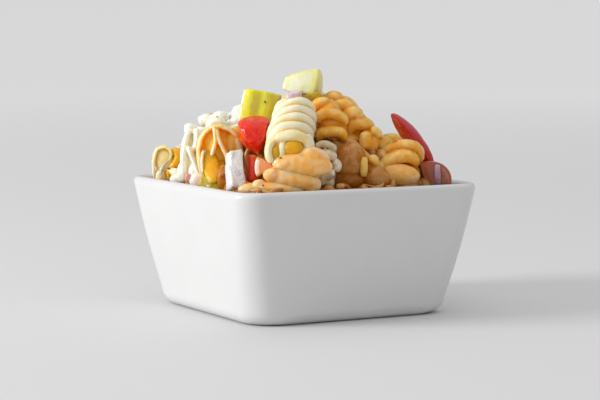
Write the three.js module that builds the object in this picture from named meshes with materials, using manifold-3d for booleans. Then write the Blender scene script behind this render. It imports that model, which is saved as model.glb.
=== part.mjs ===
// A small square white porcelain bowl, heaped with pasta salad: corkscrew pasta with diced cucumber, tomato,
// green pepper, cheese and radish. Millimetres, +Z up. The origin is the centre of the bowl's foot, on the surface
// that it stands on, and the bowl's sides face along X and Y.
import * as THREE from "three";
import { mergeVertices } from "three/addons/utils/BufferGeometryUtils.js";
import Module from "manifold-3d";

const wasm = await Module();
wasm.setup();

// The bowl.
const RIM_HALF = 38; // half the outer width at the lip
const BOWL_HEIGHT = 37;
const FOOT_HALF = 28.2; // half the width of the face that it stands on
const FOOT_WIDTH = 3; // of the ring that touches the surface
const FOOT_RECESS = 0.8;
const HEEL_HALF = 32.2; // half the width where the rounded heel ends and the wall begins
const HEEL_RISE = 4.2;
const BELLY = 0.35; // how far the walls bow out at mid height
const WALL = 3;
const LIP = WALL / 2; // radius of the rounded lip
const FLOOR = 4.2;
const INNER_HEEL = 7; // radius where the inside wall runs into the floor
const CORNER_FOOT = 9; // outer corner radii
const CORNER_RIM = 7.5;
const CORNER_STEPS = 5;

// The heap.
const TURN = THREE.MathUtils.degToRad(-28.6); // the salad's best side looks across a corner of the bowl
const GAP = 0.42; // clearance between neighbouring solids
const FILL_LEVEL = BOWL_HEIGHT - 3; // of the salad along the walls
const SHOULDER_GAP = 3.6;
const CORE_TOP = 56.5;
const CORE_RINGS = 5;
const FOOD_CORNER_STEPS = 3;
const FACET_SLACK = 0.08; // facets of the heap that are flatter than this are merged

// One corkscrew of pasta.
const FINS = 3;
const VALLEY = 0.62; // radius between the fins, as a share of the whole
const COLUMNS = 9; // steps round one turn

// Where each corkscrew lies in the heap: the two ends of its axis, its radius, its turns and its first roll, in a
// frame with x to the right of the best side, y away from it and z up.
const PASTA = [
  { from: [-1.6, -15.5, 57.8], to: [-4, -29.5, 44], radius: 6.3, turns: 1.9, roll: 0 },
  { from: [-0.5, -30, 47.5], to: [-4.2, -33.5, 32], radius: 7.2, turns: 1, roll: 40 },
  { from: [-21.5, -8, 52.5], to: [-24, -16, 35], radius: 6.2, turns: 1.1, roll: 10 },
  { from: [-38, 12, 41], to: [-26, 18, 39], radius: 5.2, turns: 1, roll: 0 },
  { from: [-31, 5, 51], to: [-32.5, 0, 34], radius: 4.8, turns: 1.2, roll: 60 },
  { from: [-29, 5, 47.6], to: [-18, 6, 51.4], radius: 4.4, turns: 1.2, roll: 20 },
  { from: [-17.6, 1, 56], to: [-19.5, -6, 46], radius: 4.2, turns: 1.2, roll: 0 },
  { from: [6, -9, 60.4], to: [8.7, -15, 47.5], radius: 4.8, turns: 1.1, roll: 30 },
  { from: [10, -2, 61], to: [17.5, -8, 47.5], radius: 5, turns: 1.2, roll: 0 },
  { from: [18, -12, 50], to: [13.5, -24, 35], radius: 6.6, turns: 0.8, roll: 0 },
  { from: [22.5, -3, 48.3], to: [31.4, -14.5, 37.6], radius: 6.8, turns: 1.2, roll: 20 },
  { from: [6.8, -23, 49.5], to: [7.6, -28, 33], radius: 4.6, turns: 1.4, roll: 0 },
  { from: [-26, 14, 48], to: [-8, 20, 53], radius: 6.4, turns: 1.4, roll: 0 },
  { from: [-6, 10, 57], to: [12, 6, 56], radius: 6, turns: 1.5, roll: 50 },
  { from: [-7, 0, 57], to: [8, -3, 57.2], radius: 4.6, turns: 1.2, roll: 15 },
  { from: [17, 5, 47.4], to: [27, 8, 42], radius: 5.8, turns: 1.2, roll: 20 },
  { from: [-12, 25, 45], to: [8, 24, 50], radius: 6.4, turns: 1.6, roll: 0 },
  { from: [12, 35, 40], to: [20, 18, 48], radius: 6.4, turns: 1.6, roll: 70 },
  { from: [-34, 12, 41], to: [-20, 20, 42], radius: 6, turns: 1.4, roll: 0 },
  { from: [25, 11, 41], to: [33, -4, 41], radius: 6, turns: 1.4, roll: 0 },
  { from: [2, 33.5, 38], to: [-12, 27, 38], radius: 5.6, turns: 1.4, roll: 30 },
];

// Outer half width of the bowl at height z.
function outerHalf(z) {
  if (z < HEEL_RISE) {
    const left = 1 - z / HEEL_RISE;
    return FOOT_HALF + (HEEL_HALF - FOOT_HALF) * Math.sqrt(1 - left * left);
  }
  const share = (z - HEEL_RISE) / (BOWL_HEIGHT - LIP - HEEL_RISE);
  return HEEL_HALF + (RIM_HALF - HEEL_HALF) * share + BELLY * Math.sin(Math.PI * share);
}

// Outer corner radius of the bowl at height z.
function outerCorner(z) {
  return CORNER_FOOT + ((CORNER_RIM - CORNER_FOOT) * z) / BOWL_HEIGHT;
}

// Inner half width of the bowl at height z, rounded into its floor.
function innerHalf(z) {
  const left = Math.max(0, 1 - (z - FLOOR) / INNER_HEEL);
  return outerHalf(z) - WALL - INNER_HEEL * (1 - Math.sqrt(1 - left * left));
}

// A ring of points round a square with rounded corners, anticlockwise from above.
function roundedSquare(half, corner, z, steps = CORNER_STEPS) {
  const radius = Math.min(corner, half);
  const ring = [];
  for (let quarter = 0; quarter < 4; quarter++) {
    for (let step = 0; step <= steps; step++) {
      const angle = ((quarter + step / steps) * Math.PI) / 2;
      const middle = (quarter * Math.PI) / 2 + Math.PI / 4;
      ring.push(
        new THREE.Vector3(
          Math.sign(Math.cos(middle)) * (half - radius) + radius * Math.cos(angle),
          Math.sign(Math.sin(middle)) * (half - radius) + radius * Math.sin(angle),
          z,
        ),
      );
    }
  }
  return ring;
}

// A closed solid through rings of equally many points, with a fan over each end.
function loft(rings) {
  const count = rings[0].length;
  const middle = (ring) => ring.reduce((sum, p) => sum.add(p), new THREE.Vector3()).divideScalar(count);
  const points = [...rings.flat(), middle(rings[0]), middle(rings.at(-1))];
  const [foot, head] = [points.length - 2, points.length - 1];
  const faces = [];
  for (let i = 0; i < count; i++) {
    const j = (i + 1) % count;
    faces.push(foot, j, i);
    for (let k = 0; k + 1 < rings.length; k++) {
      const [low, high] = [k * count, (k + 1) * count];
      faces.push(low + i, low + j, high + j, low + i, high + j, high + i);
    }
    const last = (rings.length - 1) * count;
    faces.push(head, last + i, last + j);
  }
  const geometry = new THREE.BufferGeometry().setFromPoints(points);
  geometry.setIndex(faces);
  return geometry;
}

// A closed geometry as a solid for booleans.
function solidOf(geometry) {
  const bare = geometry.index ? geometry.toNonIndexed() : geometry.clone();
  bare.deleteAttribute("normal");
  bare.deleteAttribute("uv");
  const merged = mergeVertices(bare, 1e-4);
  return new wasm.Manifold(
    new wasm.Mesh({
      numProp: 3,
      vertProperties: merged.attributes.position.array,
      triVerts: new Uint32Array(merged.index.array),
    }),
  );
}

// A solid back as a geometry.
function geometryOf(solid) {
  const { vertProperties, triVerts } = solid.getMesh();
  const geometry = new THREE.BufferGeometry();
  geometry.setAttribute("position", new THREE.BufferAttribute(vertProperties, 3));
  geometry.setIndex(new THREE.BufferAttribute(triVerts, 1));
  return geometry;
}

// The largest of a solid's separate shells: stray crumbs and closed pockets are left out.
function mainShell(solid) {
  return solid.decompose().reduce((best, shell) => (shell.volume() > best.volume() ? shell : best));
}

// The rounded-out envelope of a solid, moved outwards all round by a clearance along the axes.
function envelope(solid, clearance) {
  const hull = solid.hull();
  const steps = [-clearance, clearance].flatMap((step) => [
    [step, 0, 0],
    [0, step, 0],
    [0, 0, step],
  ]);
  return wasm.Manifold.hull(steps.map((step) => hull.translate(step)));
}

// The bowl: foot ring, rounded heel, flared walls, round lip and hollow inside, as one closed loft.
function bowl() {
  const rings = [
    roundedSquare(FOOT_HALF - FOOT_WIDTH - FOOT_RECESS, CORNER_FOOT - FOOT_WIDTH, FOOT_RECESS),
    roundedSquare(FOOT_HALF - FOOT_WIDTH, CORNER_FOOT - FOOT_WIDTH, 0),
  ];
  const lipHeight = BOWL_HEIGHT - LIP;
  const heights = [0, 0.4, 1.2, 2.5, HEEL_RISE, 12, 20, 28, lipHeight];
  heights.forEach((z) => rings.push(roundedSquare(outerHalf(z), outerCorner(z), z)));
  for (const degrees of [35, 65, 90, 115, 145]) {
    const angle = THREE.MathUtils.degToRad(degrees);
    const out = LIP * Math.cos(angle);
    rings.push(roundedSquare(RIM_HALF - LIP + out, CORNER_RIM - LIP + out, lipHeight + LIP * Math.sin(angle)));
  }
  const innerHeights = [lipHeight, 28, 20, FLOOR + INNER_HEEL, 8, 6, 4.8, FLOOR];
  innerHeights.forEach((z) => rings.push(roundedSquare(innerHalf(z), outerCorner(z) - WALL, z)));
  return loft(rings);
}

// The room inside the bowl's walls and straight up from its lip, which all the food keeps within.
function room() {
  const top = BOWL_HEIGHT - LIP;
  const rings = [FLOOR, 5, 6.6, FLOOR + INNER_HEEL, top].map((z) =>
    roundedSquare(innerHalf(z) - GAP, outerCorner(z) - WALL, Math.max(z, FLOOR + GAP), FOOD_CORNER_STEPS),
  );
  const corner = outerCorner(top) - WALL;
  rings.push(roundedSquare(innerHalf(top) - GAP, corner, 2 * BOWL_HEIGHT, FOOD_CORNER_STEPS));
  return loft(rings);
}

// The packed middle of the heap: wider than the bowl up to its fill level, then a dome.
function core() {
  const rings = [0, FILL_LEVEL].map((z) => roundedSquare(RIM_HALF, CORNER_RIM, z, FOOD_CORNER_STEPS));
  const shoulder = innerHalf(FILL_LEVEL) - SHOULDER_GAP;
  for (let step = 0; step <= CORE_RINGS; step++) {
    const angle = (step / (CORE_RINGS + 0.5)) * (Math.PI / 2);
    const z = FILL_LEVEL + 1 + (CORE_TOP - FILL_LEVEL - 1) * Math.sin(angle);
    const half = shoulder * Math.cos(angle) ** 1.3;
    rings.push(roundedSquare(half, half * (0.3 + 0.7 * Math.sin(angle)), z, FOOD_CORNER_STEPS));
  }
  return loft(rings);
}

// A screw with several threads along +Z: ridges and valleys that climb together, one column of points after the
// other round the axis. It overshoots both ends of its length.
function screw(radius, length, turns) {
  const pitch = length / turns;
  const perTurn = 2 * FINS;
  const rows = Math.ceil((turns + 3) * perTurn);
  const points = [];
  for (let column = 0; column < COLUMNS; column++) {
    const angle = (2 * Math.PI * column) / COLUMNS;
    for (let row = 0; row <= rows; row++) {
      const r = radius * (row % 2 ? 1 : VALLEY);
      const z = pitch * (row / perTurn + column / COLUMNS - 2);
      points.push(new THREE.Vector3(r * Math.cos(angle), r * Math.sin(angle), z));
    }
  }
  // A full turn leads back to the first column, one pitch higher up.
  const index = (column, row) =>
    column < COLUMNS ? column * (rows + 1) + row : index(column - COLUMNS, row + perTurn);
  const faces = [];
  const foot = [];
  const head = [];
  for (let column = 0; column < COLUMNS; column++) {
    const end = column === COLUMNS - 1 ? rows - perTurn : rows;
    for (let row = 0; row < end; row++) {
      const [a, b] = [index(column, row), index(column + 1, row)];
      const [c, d] = [index(column + 1, row + 1), index(column, row + 1)];
      faces.push(a, b, c, a, c, d);
    }
    foot.push(index(column, 0));
    head.push(index(column, rows));
  }
  for (let step = 0; step < perTurn; step++) {
    foot.push(index(0, perTurn - step));
    head.push(index(COLUMNS - 1, rows - 1 - step));
  }
  const below = points.push(new THREE.Vector3(0, 0, -3 * pitch)) - 1;
  const above = points.push(new THREE.Vector3(0, 0, length + 3 * pitch)) - 1;
  foot.forEach((point, i) => faces.push(below, foot[(i + 1) % foot.length], point));
  head.forEach((point, i) => faces.push(above, point, head[(i + 1) % head.length]));
  const geometry = new THREE.BufferGeometry().setFromPoints(points);
  geometry.setIndex(faces);
  return geometry;
}

// One corkscrew of pasta: a screw cut off square at both ends, laid from one point to another.
function corkscrew({ from, to, radius, turns, roll }) {
  const start = new THREE.Vector3(...from);
  const along = new THREE.Vector3(...to).sub(start);
  const length = along.length();
  const cut = solidOf(screw(radius, length, turns)).trimByPlane([0, 0, 1], 0).trimByPlane([0, 0, -1], -length);
  const place = new THREE.Matrix4().makeRotationFromQuaternion(
    new THREE.Quaternion().setFromUnitVectors(new THREE.Vector3(0, 0, 1), along.normalize()),
  );
  place.setPosition(start);
  return geometryOf(cut).rotateZ(THREE.MathUtils.degToRad(roll)).applyMatrix4(place);
}

// A flat outline pulled through a thickness, centred on its middle plane.
function slab(shape, thickness, curveSegments = 6) {
  const geometry = new THREE.ExtrudeGeometry(shape, { depth: thickness, bevelEnabled: false, curveSegments });
  return geometry.translate(0, 0, -thickness / 2);
}

// A pie slice of a disc, its tip at the origin, opening along +X.
function sector(radius, degrees) {
  const half = THREE.MathUtils.degToRad(degrees / 2);
  const shape = new THREE.Shape();
  shape.moveTo(0, 0);
  shape.lineTo(radius * Math.cos(half), -radius * Math.sin(half));
  shape.absarc(0, 0, radius, -half, half, false);
  shape.closePath();
  return shape;
}

// A part of a ring wall, its middle on +X.
function ringPart(radius, wall, degrees) {
  const half = THREE.MathUtils.degToRad(degrees / 2);
  const shape = new THREE.Shape();
  shape.absarc(0, 0, radius, -half, half, false);
  shape.absarc(0, 0, radius - wall, half, -half, true);
  shape.closePath();
  return shape;
}

// A chunk of a round fruit: the part of a ball between two planes that meet on its axis.
function ballWedge(radius, degrees, stretch) {
  const ball = new THREE.SphereGeometry(radius, 16, 10).scale(1, 1, stretch);
  const cutter = slab(sector(4 * radius, degrees), 4 * radius * stretch);
  return geometryOf(solidOf(ball).intersect(solidOf(cutter)));
}

// A stick with a pie-slice section along +X, smaller towards its start.
function stick(radius, degrees, length, startSize) {
  const geometry = slab(sector(radius, degrees), length);
  geometry.rotateZ(Math.PI / 2).rotateX(Math.PI / 2).rotateZ(Math.PI / 2);
  const position = geometry.getAttribute("position");
  for (let i = 0; i < position.count; i++) {
    if (position.getX(i) > 0) continue;
    position.setY(i, position.getY(i) * startSize);
    position.setZ(i, position.getZ(i) * startSize);
  }
  return geometry;
}

// A block whose top is a little smaller than its base.
function block(width, depth, height, taper = 0.9) {
  const geometry = new THREE.BoxGeometry(width, depth, height);
  const position = geometry.getAttribute("position");
  for (let i = 0; i < position.count; i++) {
    if (position.getZ(i) > 0) position.setXY(i, position.getX(i) * taper, position.getY(i) * taper);
  }
  return geometry;
}

// The vegetables and cheese as large as a berry: shape, middle of its box, and turns about X, Y and Z in degrees.
const CHUNKS = [
  { name: "cucumber_top", shape: stick(8.8, 84, 9.8, 0.42), at: [0.4, -5.6, 64.3], turn: [-55, 22, -2] },
  { name: "pepper_green", shape: slab(ringPart(8, 4.4, 92), 9.5), at: [-11.6, -9.8, 57.7], turn: [-8, 8, -80] },
  { name: "tomato_chunk", shape: ballWedge(11.6, 52, 0.52), at: [-13.4, -18.5, 50.6], turn: [90, 0, 103] },
  { name: "cheese_cube", shape: block(5.1, 6, 10.5), at: [-17.8, -28.8, 41.6], turn: [-14, -4, 14] },
  { name: "pepper_red", shape: block(2.6, 5, 7.4), at: [-13.6, -26.4, 41.8], turn: [-10, 0, 10] },
  { name: "carrot_dice", shape: slab(sector(5.8, 56), 3), at: [-9.8, -31.2, 42.8], turn: [90, 0, 180] },
  { name: "tomato_wedge", shape: ballWedge(3.5, 180, 2.9), at: [31.8, -2, 47.4], turn: [0, -36, 22] },
  { name: "tomato_dark", shape: ballWedge(7.4, 110, 0.8), at: [38, -9.5, 37.2], turn: [0, -20, 40] },
  { name: "pepper_slice", shape: slab(ringPart(9, 2.6, 60), 6), at: [-24.6, -20.5, 35.9], turn: [0, 10, -118] },
  { name: "cucumber_back", shape: slab(sector(11, 62), 6), at: [4, 20, 58], turn: [50, 20, 60] },
  { name: "tomato_back", shape: ballWedge(9, 90, 1), at: [-21, 20, 48], turn: [0, -60, 110] },
  { name: "cheese_back", shape: block(6.5, 6, 9), at: [18.6, 17, 44.4], turn: [30, 20, 20] },
  { name: "pepper_back", shape: slab(ringPart(9, 3.6, 90), 9), at: [-6, 29, 48], turn: [10, 20, 100] },
];

const COLOURS = {
  porcelain: { color: 0xf2f2f0, roughness: 0.18 },
  pasta: { color: 0xe0a85a, roughness: 0.45 },
  cucumber: { color: 0xdfe3a0, roughness: 0.35 },
  green_pepper: { color: 0xb9c21e, roughness: 0.25 },
  tomato: { color: 0xc8231c, roughness: 0.25 },
  cheese: { color: 0xece8ea, roughness: 0.55 },
  carrot: { color: 0xe07a4a, roughness: 0.4 },
};

const CHUNK_FINISH = [
  ["cucumber", "cucumber"],
  ["pepper_red", "tomato"],
  ["pepper", "green_pepper"],
  ["tomato", "tomato"],
  ["cheese", "cheese"],
  ["carrot", "carrot"],
];

// A named mesh in one of the colours.
function piece(name, geometry, finish) {
  const material = new THREE.MeshStandardMaterial({ ...COLOURS[finish], metalness: 0 });
  const mesh = new THREE.Mesh(geometry, material);
  mesh.name = name;
  return mesh;
}

// A chunk turned about its own middle and moved to its place.
function placed({ shape, at, turn }) {
  const geometry = shape.clone();
  geometry.center();
  geometry.applyMatrix4(
    new THREE.Matrix4().makeRotationFromEuler(new THREE.Euler(...turn.map(THREE.MathUtils.degToRad))),
  );
  geometry.center();
  return geometry.translate(...at);
}

const part = new THREE.Group();
part.add(piece("bowl", bowl(), "porcelain"));

const salad = new THREE.Group();
salad.rotation.z = TURN;
part.add(salad);

const chunks = CHUNKS.map((chunk) => ({ name: chunk.name, solid: solidOf(placed(chunk)) }));
const inside = solidOf(room().rotateZ(-TURN));
let heap = solidOf(core().rotateZ(-TURN));
PASTA.forEach((place) => {
  heap = heap.add(solidOf(corkscrew(place)));
});
heap = heap.intersect(inside);
for (const { name, solid } of chunks) {
  heap = heap.subtract(envelope(solid, GAP));
  const [, finish] = CHUNK_FINISH.find(([start]) => name.startsWith(start));
  salad.add(piece(name, geometryOf(solid.intersect(inside)), finish));
}
salad.add(piece("pasta_heap", geometryOf(mainShell(heap.simplify(FACET_SLACK))), "pasta"));

export default part;
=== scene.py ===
"""Small square porcelain bowl heaped with corkscrew pasta salad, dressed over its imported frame.

Lengths in the tables are millimetres in the salad's own frame: x to the right of its best side, y away from
that side and z up. The whole salad is turned against the bowl, so its best side looks across a corner.
"""

import logging
import math
import random
from contextlib import contextmanager
from dataclasses import dataclass
from enum import Enum
from typing import Callable, ClassVar, Iterator, Optional, Sequence, Union

import bmesh
import bpy
import numpy as np
from bpy.types import Material, Mesh, NodeSocket, Object
from mathutils import Euler, Matrix, Vector, noise
from mathutils.bvhtree import BVHTree


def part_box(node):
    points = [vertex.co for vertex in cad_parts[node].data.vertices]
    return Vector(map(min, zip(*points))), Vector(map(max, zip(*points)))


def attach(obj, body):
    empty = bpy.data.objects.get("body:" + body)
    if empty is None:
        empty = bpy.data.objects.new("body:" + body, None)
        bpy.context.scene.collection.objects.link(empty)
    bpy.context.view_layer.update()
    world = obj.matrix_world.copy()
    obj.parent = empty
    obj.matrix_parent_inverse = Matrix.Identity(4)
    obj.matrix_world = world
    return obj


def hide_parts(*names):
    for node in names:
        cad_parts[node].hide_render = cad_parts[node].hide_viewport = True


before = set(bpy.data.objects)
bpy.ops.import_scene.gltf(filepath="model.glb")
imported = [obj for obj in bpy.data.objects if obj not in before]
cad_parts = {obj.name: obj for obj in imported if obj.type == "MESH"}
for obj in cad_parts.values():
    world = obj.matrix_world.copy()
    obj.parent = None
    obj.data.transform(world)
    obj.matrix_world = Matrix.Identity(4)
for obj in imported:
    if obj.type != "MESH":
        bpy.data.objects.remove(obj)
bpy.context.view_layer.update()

MM = 0.001
SALAD_TURN = math.radians(-28.6)
NOISE_SEED = 3
BODY = "root"
LOG = logging.getLogger("pasta_salad")

Triple = tuple[float, float, float]
Colour = tuple[float, float, float]


class Slot(Enum):
    """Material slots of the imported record."""

    PORCELAIN = "porcelain"
    PASTA = "pasta"
    CUCUMBER = "cucumber"
    GREEN_PEPPER = "green_pepper"
    TOMATO = "tomato"
    CHEESE = "cheese"
    CARROT = "carrot"


# ---- Shader maths ----


class Wire:
    """An output socket that takes part in arithmetic and adds its own Math nodes."""

    def __init__(self, graph: "Graph", socket: NodeSocket) -> None:
        """Wrap one output socket of a material's graph."""
        self.graph = graph
        self.socket = socket

    def _math(self, operation: str, *values: "Value") -> "Wire":
        """Return the result of one Math node on the values."""
        return self.graph.node("ShaderNodeMath", {"operation": operation}, dict(enumerate(values)))

    def __add__(self, other: "Value") -> "Wire":
        """Return self + other."""
        return self._math("ADD", self, other)

    __radd__ = __add__

    def __sub__(self, other: "Value") -> "Wire":
        """Return self - other."""
        return self._math("SUBTRACT", self, other)

    def __rsub__(self, other: "Value") -> "Wire":
        """Return other - self."""
        return self._math("SUBTRACT", other, self)

    def __mul__(self, other: "Value") -> "Wire":
        """Return self * other."""
        return self._math("MULTIPLY", self, other)

    __rmul__ = __mul__

    def clamp(self) -> "Wire":
        """Return the value held between 0 and 1."""
        return self.graph.node("ShaderNodeClamp", {}, {"Value": self})

    def step(self, low: float, high: float) -> "Wire":
        """Return the value mapped smoothly from low..high to 0..1."""
        inputs = {"Value": self, "From Min": low, "From Max": high}
        return self.graph.node("ShaderNodeMapRange", {"interpolation_type": "SMOOTHSTEP"}, inputs)


Value = Union[Wire, float, tuple]


class Graph:
    """The node graph of one material, ending in a Principled shader."""

    def __init__(self, name: str) -> None:
        """Start an empty material."""
        self.material = bpy.data.materials.new(name)
        self.material.use_nodes = True
        self.tree = self.material.node_tree
        self.tree.nodes.clear()

    def node(
        self,
        kind: str,
        settings: Optional[dict] = None,
        inputs: Optional[dict] = None,
        output: Union[int, str] = 0,
    ) -> Wire:
        """Add one node.

        Args:
            kind: The node's type name.
            settings: Properties that are set before the sockets.
            inputs: Values or wires by socket name or number.
            output: The output to return.

        Returns:
            The chosen output.
        """
        node = self.tree.nodes.new(kind)
        for key, value in (settings or {}).items():
            setattr(node, key, value)
        for key, value in (inputs or {}).items():
            socket = node.inputs[key]
            if isinstance(value, Wire):
                self.tree.links.new(value.socket, socket)
            elif isinstance(value, tuple) and len(value) == 3 and socket.type == "RGBA":
                socket.default_value = (*value, 1.0)
            else:
                socket.default_value = value
        return Wire(self, node.outputs[output])

    def place(self) -> Wire:
        """Return the Object coordinates."""
        return self.node("ShaderNodeTexCoord", output="Object")

    def attribute(self, name: str) -> Wire:
        """Return a number kept on the mesh under a name."""
        return self.node("ShaderNodeAttribute", {"attribute_name": name}, output="Fac")

    def noise(self, scale: float, detail: float = 3.0, roughness: float = 0.55) -> Wire:
        """Return a fractal noise on Object coordinates.

        Args:
            scale: Features per metre.
            detail: Octaves.
            roughness: Strength of the finer octaves.

        Returns:
            The noise, about 0.3 to 0.7.
        """
        inputs = {"Vector": self.place(), "Scale": scale, "Detail": detail, "Roughness": roughness}
        return self.node("ShaderNodeTexNoise", {}, inputs, "Fac")

    def mix(self, amount: Value, low: Value, high: Value) -> Wire:
        """Return two colours blended, the low one at amount 0 and the high one at 1."""
        return self.node("ShaderNodeMix", {"data_type": "RGBA"}, {0: amount, 6: low, 7: high}, 2)

    def finish(self, inputs: dict, bump: Optional[Wire] = None, depth: float = 0.0) -> Material:
        """Close the graph with a Principled shader.

        Args:
            inputs: The shader's inputs by name.
            bump: Height of the fine relief, if any.
            depth: The relief's depth in metres.

        Returns:
            The material.
        """
        if bump is not None:
            relief = self.node("ShaderNodeBump", {}, {"Height": bump, "Distance": depth})
            inputs = {**inputs, "Normal": relief}
        shader = self.node("ShaderNodeBsdfPrincipled", {}, inputs)
        out = self.tree.nodes.new("ShaderNodeOutputMaterial")
        self.tree.links.new(shader.socket, out.inputs["Surface"])
        return self.material


# ---- Finishes ----


@dataclass(frozen=True)
class PorcelainFinish:
    """White glazed porcelain."""

    colour: Colour = (0.72, 0.72, 0.717)
    roughness: float = 0.22

    def material(self) -> Material:
        """Return the glaze's material."""
        graph = Graph("white_glaze")
        cloud = graph.noise(60.0).step(0.35, 0.65)
        colour = graph.mix(cloud, tuple(c * 0.985 for c in self.colour), self.colour)
        return graph.finish(
            {
                "Base Color": colour,
                "Roughness": self.roughness + 0.05 * graph.noise(220.0),
                "Specular IOR Level": 0.5,
                "Coat Weight": 0.25,
                "Coat Roughness": 0.08,
            },
            graph.noise(90.0, 2.0),
            0.00004,
        )


@dataclass(frozen=True)
class PastaFinish:
    """Cooked pasta: moist, paler on its edges and deeper in colour between them, partly its own colour and
    partly painted highlight and shade, with painted shade in deep creases and low in the heap.
    """

    name: str
    edge: Colour
    face: Colour
    valley: Colour
    spread: float = 0.45
    softness: float = 0.5
    roughness: float = 0.3
    patchy: float = 0.35
    gloss: float = 0.3
    reach: float = 0.0022
    # sunk: heights in metres below which painted shade darkens the pasta, fading out up to the second height.
    sunk: tuple[float, float] = (0.0, 0.001)

    def material(self) -> Material:
        """Return the pasta's material."""
        graph = Graph(self.name)
        crest = graph.attribute("crest")
        patches = graph.noise(260.0, 4.0).step(0.32, 0.68)
        # Crest and deep measures set the colour: paler on crests and outer lobes, deeper in valleys. Thin
        # edges really are paler; part of it is painted highlight on crests and painted shade in creases.
        base = graph.mix(crest.step(0.0, self.spread), self.valley, self.face)
        proud = 0.55 * crest + 0.45 * graph.attribute("deep") + self.patchy * (patches - 0.5)
        tint = graph.mix(proud.step(0.46, 0.9), base, self.edge)
        height = graph.node("ShaderNodeSeparateXYZ", {}, {0: graph.place()}, "Z")
        # Painted shade: deep creases, and everything below the sunk heights, blend towards the valley colour;
        # the random flecks are real tone.
        hidden = 1 - graph.attribute("deep").step(0.12, 0.5)
        shade = (0.8 * hidden + 1 - height.step(*self.sunk)).clamp()
        fleck = graph.noise(1400.0, 2.0).step(0.62, 0.75)
        colour = graph.mix((shade + 0.2 * fleck).clamp(), tint, self.valley)
        grain = graph.noise(1900.0, 3.0) + 0.6 * graph.noise(500.0, 2.0)
        return graph.finish(
            {
                "Base Color": colour,
                "Roughness": self.roughness + 0.16 * patches - 0.08,
                "Subsurface Weight": self.softness,
                "Subsurface Radius": (1.0, 0.62, 0.3),
                "Subsurface Scale": self.reach,
                "IOR": 1.42,
                "Specular IOR Level": 0.4,
                "Coat Weight": self.gloss * (0.5 + patches),
                "Coat Roughness": 0.1,
            },
            grain,
            0.00012,
        )


@dataclass(frozen=True)
class FleshFinish:
    """Wet vegetable or cheese: flesh with veins and seeds inside, and a skin on its outer side."""

    name: str
    flesh: Colour
    skin: Colour
    vein: Colour
    vein_share: float = 0.3
    vein_scale: float = 350.0
    stretch: Triple = (1.0, 1.0, 1.0)
    softness: float = 0.45
    roughness: float = 0.22
    gloss: float = 0.6
    relief: float = 0.0001
    depth: float = 0.0022
    shine: float = 0.4

    def material(self) -> Material:
        """Return the piece's material."""
        graph = Graph(self.name)
        skin = graph.attribute("skin").step(0.3, 0.7)
        inputs = {0: graph.place(), 1: self.stretch}
        drawn = graph.node("ShaderNodeVectorMath", {"operation": "MULTIPLY"}, inputs)
        inputs = {"Vector": drawn, "Scale": self.vein_scale, "Detail": 4.0, "Roughness": 0.6}
        veins = graph.node("ShaderNodeTexNoise", {}, inputs, "Fac").step(0.46, 0.66)
        flesh = graph.mix(self.vein_share * veins, self.flesh, self.vein)
        mottle = graph.noise(230.0, 3.0).step(0.3, 0.75)
        rind = graph.mix(0.3 * mottle, self.skin, self.flesh)
        colour = graph.mix(skin, flesh, rind)
        return graph.finish(
            {
                "Base Color": colour,
                "Roughness": self.roughness + 0.15 * (1 - skin) * veins,
                "Subsurface Weight": self.softness,
                "Subsurface Radius": (1.0, 0.55, 0.35),
                "Subsurface Scale": self.depth,
                "IOR": 1.42,
                "Specular IOR Level": self.shine,
                "Coat Weight": self.gloss,
                "Coat Roughness": 0.07,
            },
            graph.noise(1100.0, 3.0) + 0.6 * veins,
            self.relief,
        )


# ---- The bench: what the modelling steps share ----


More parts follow.
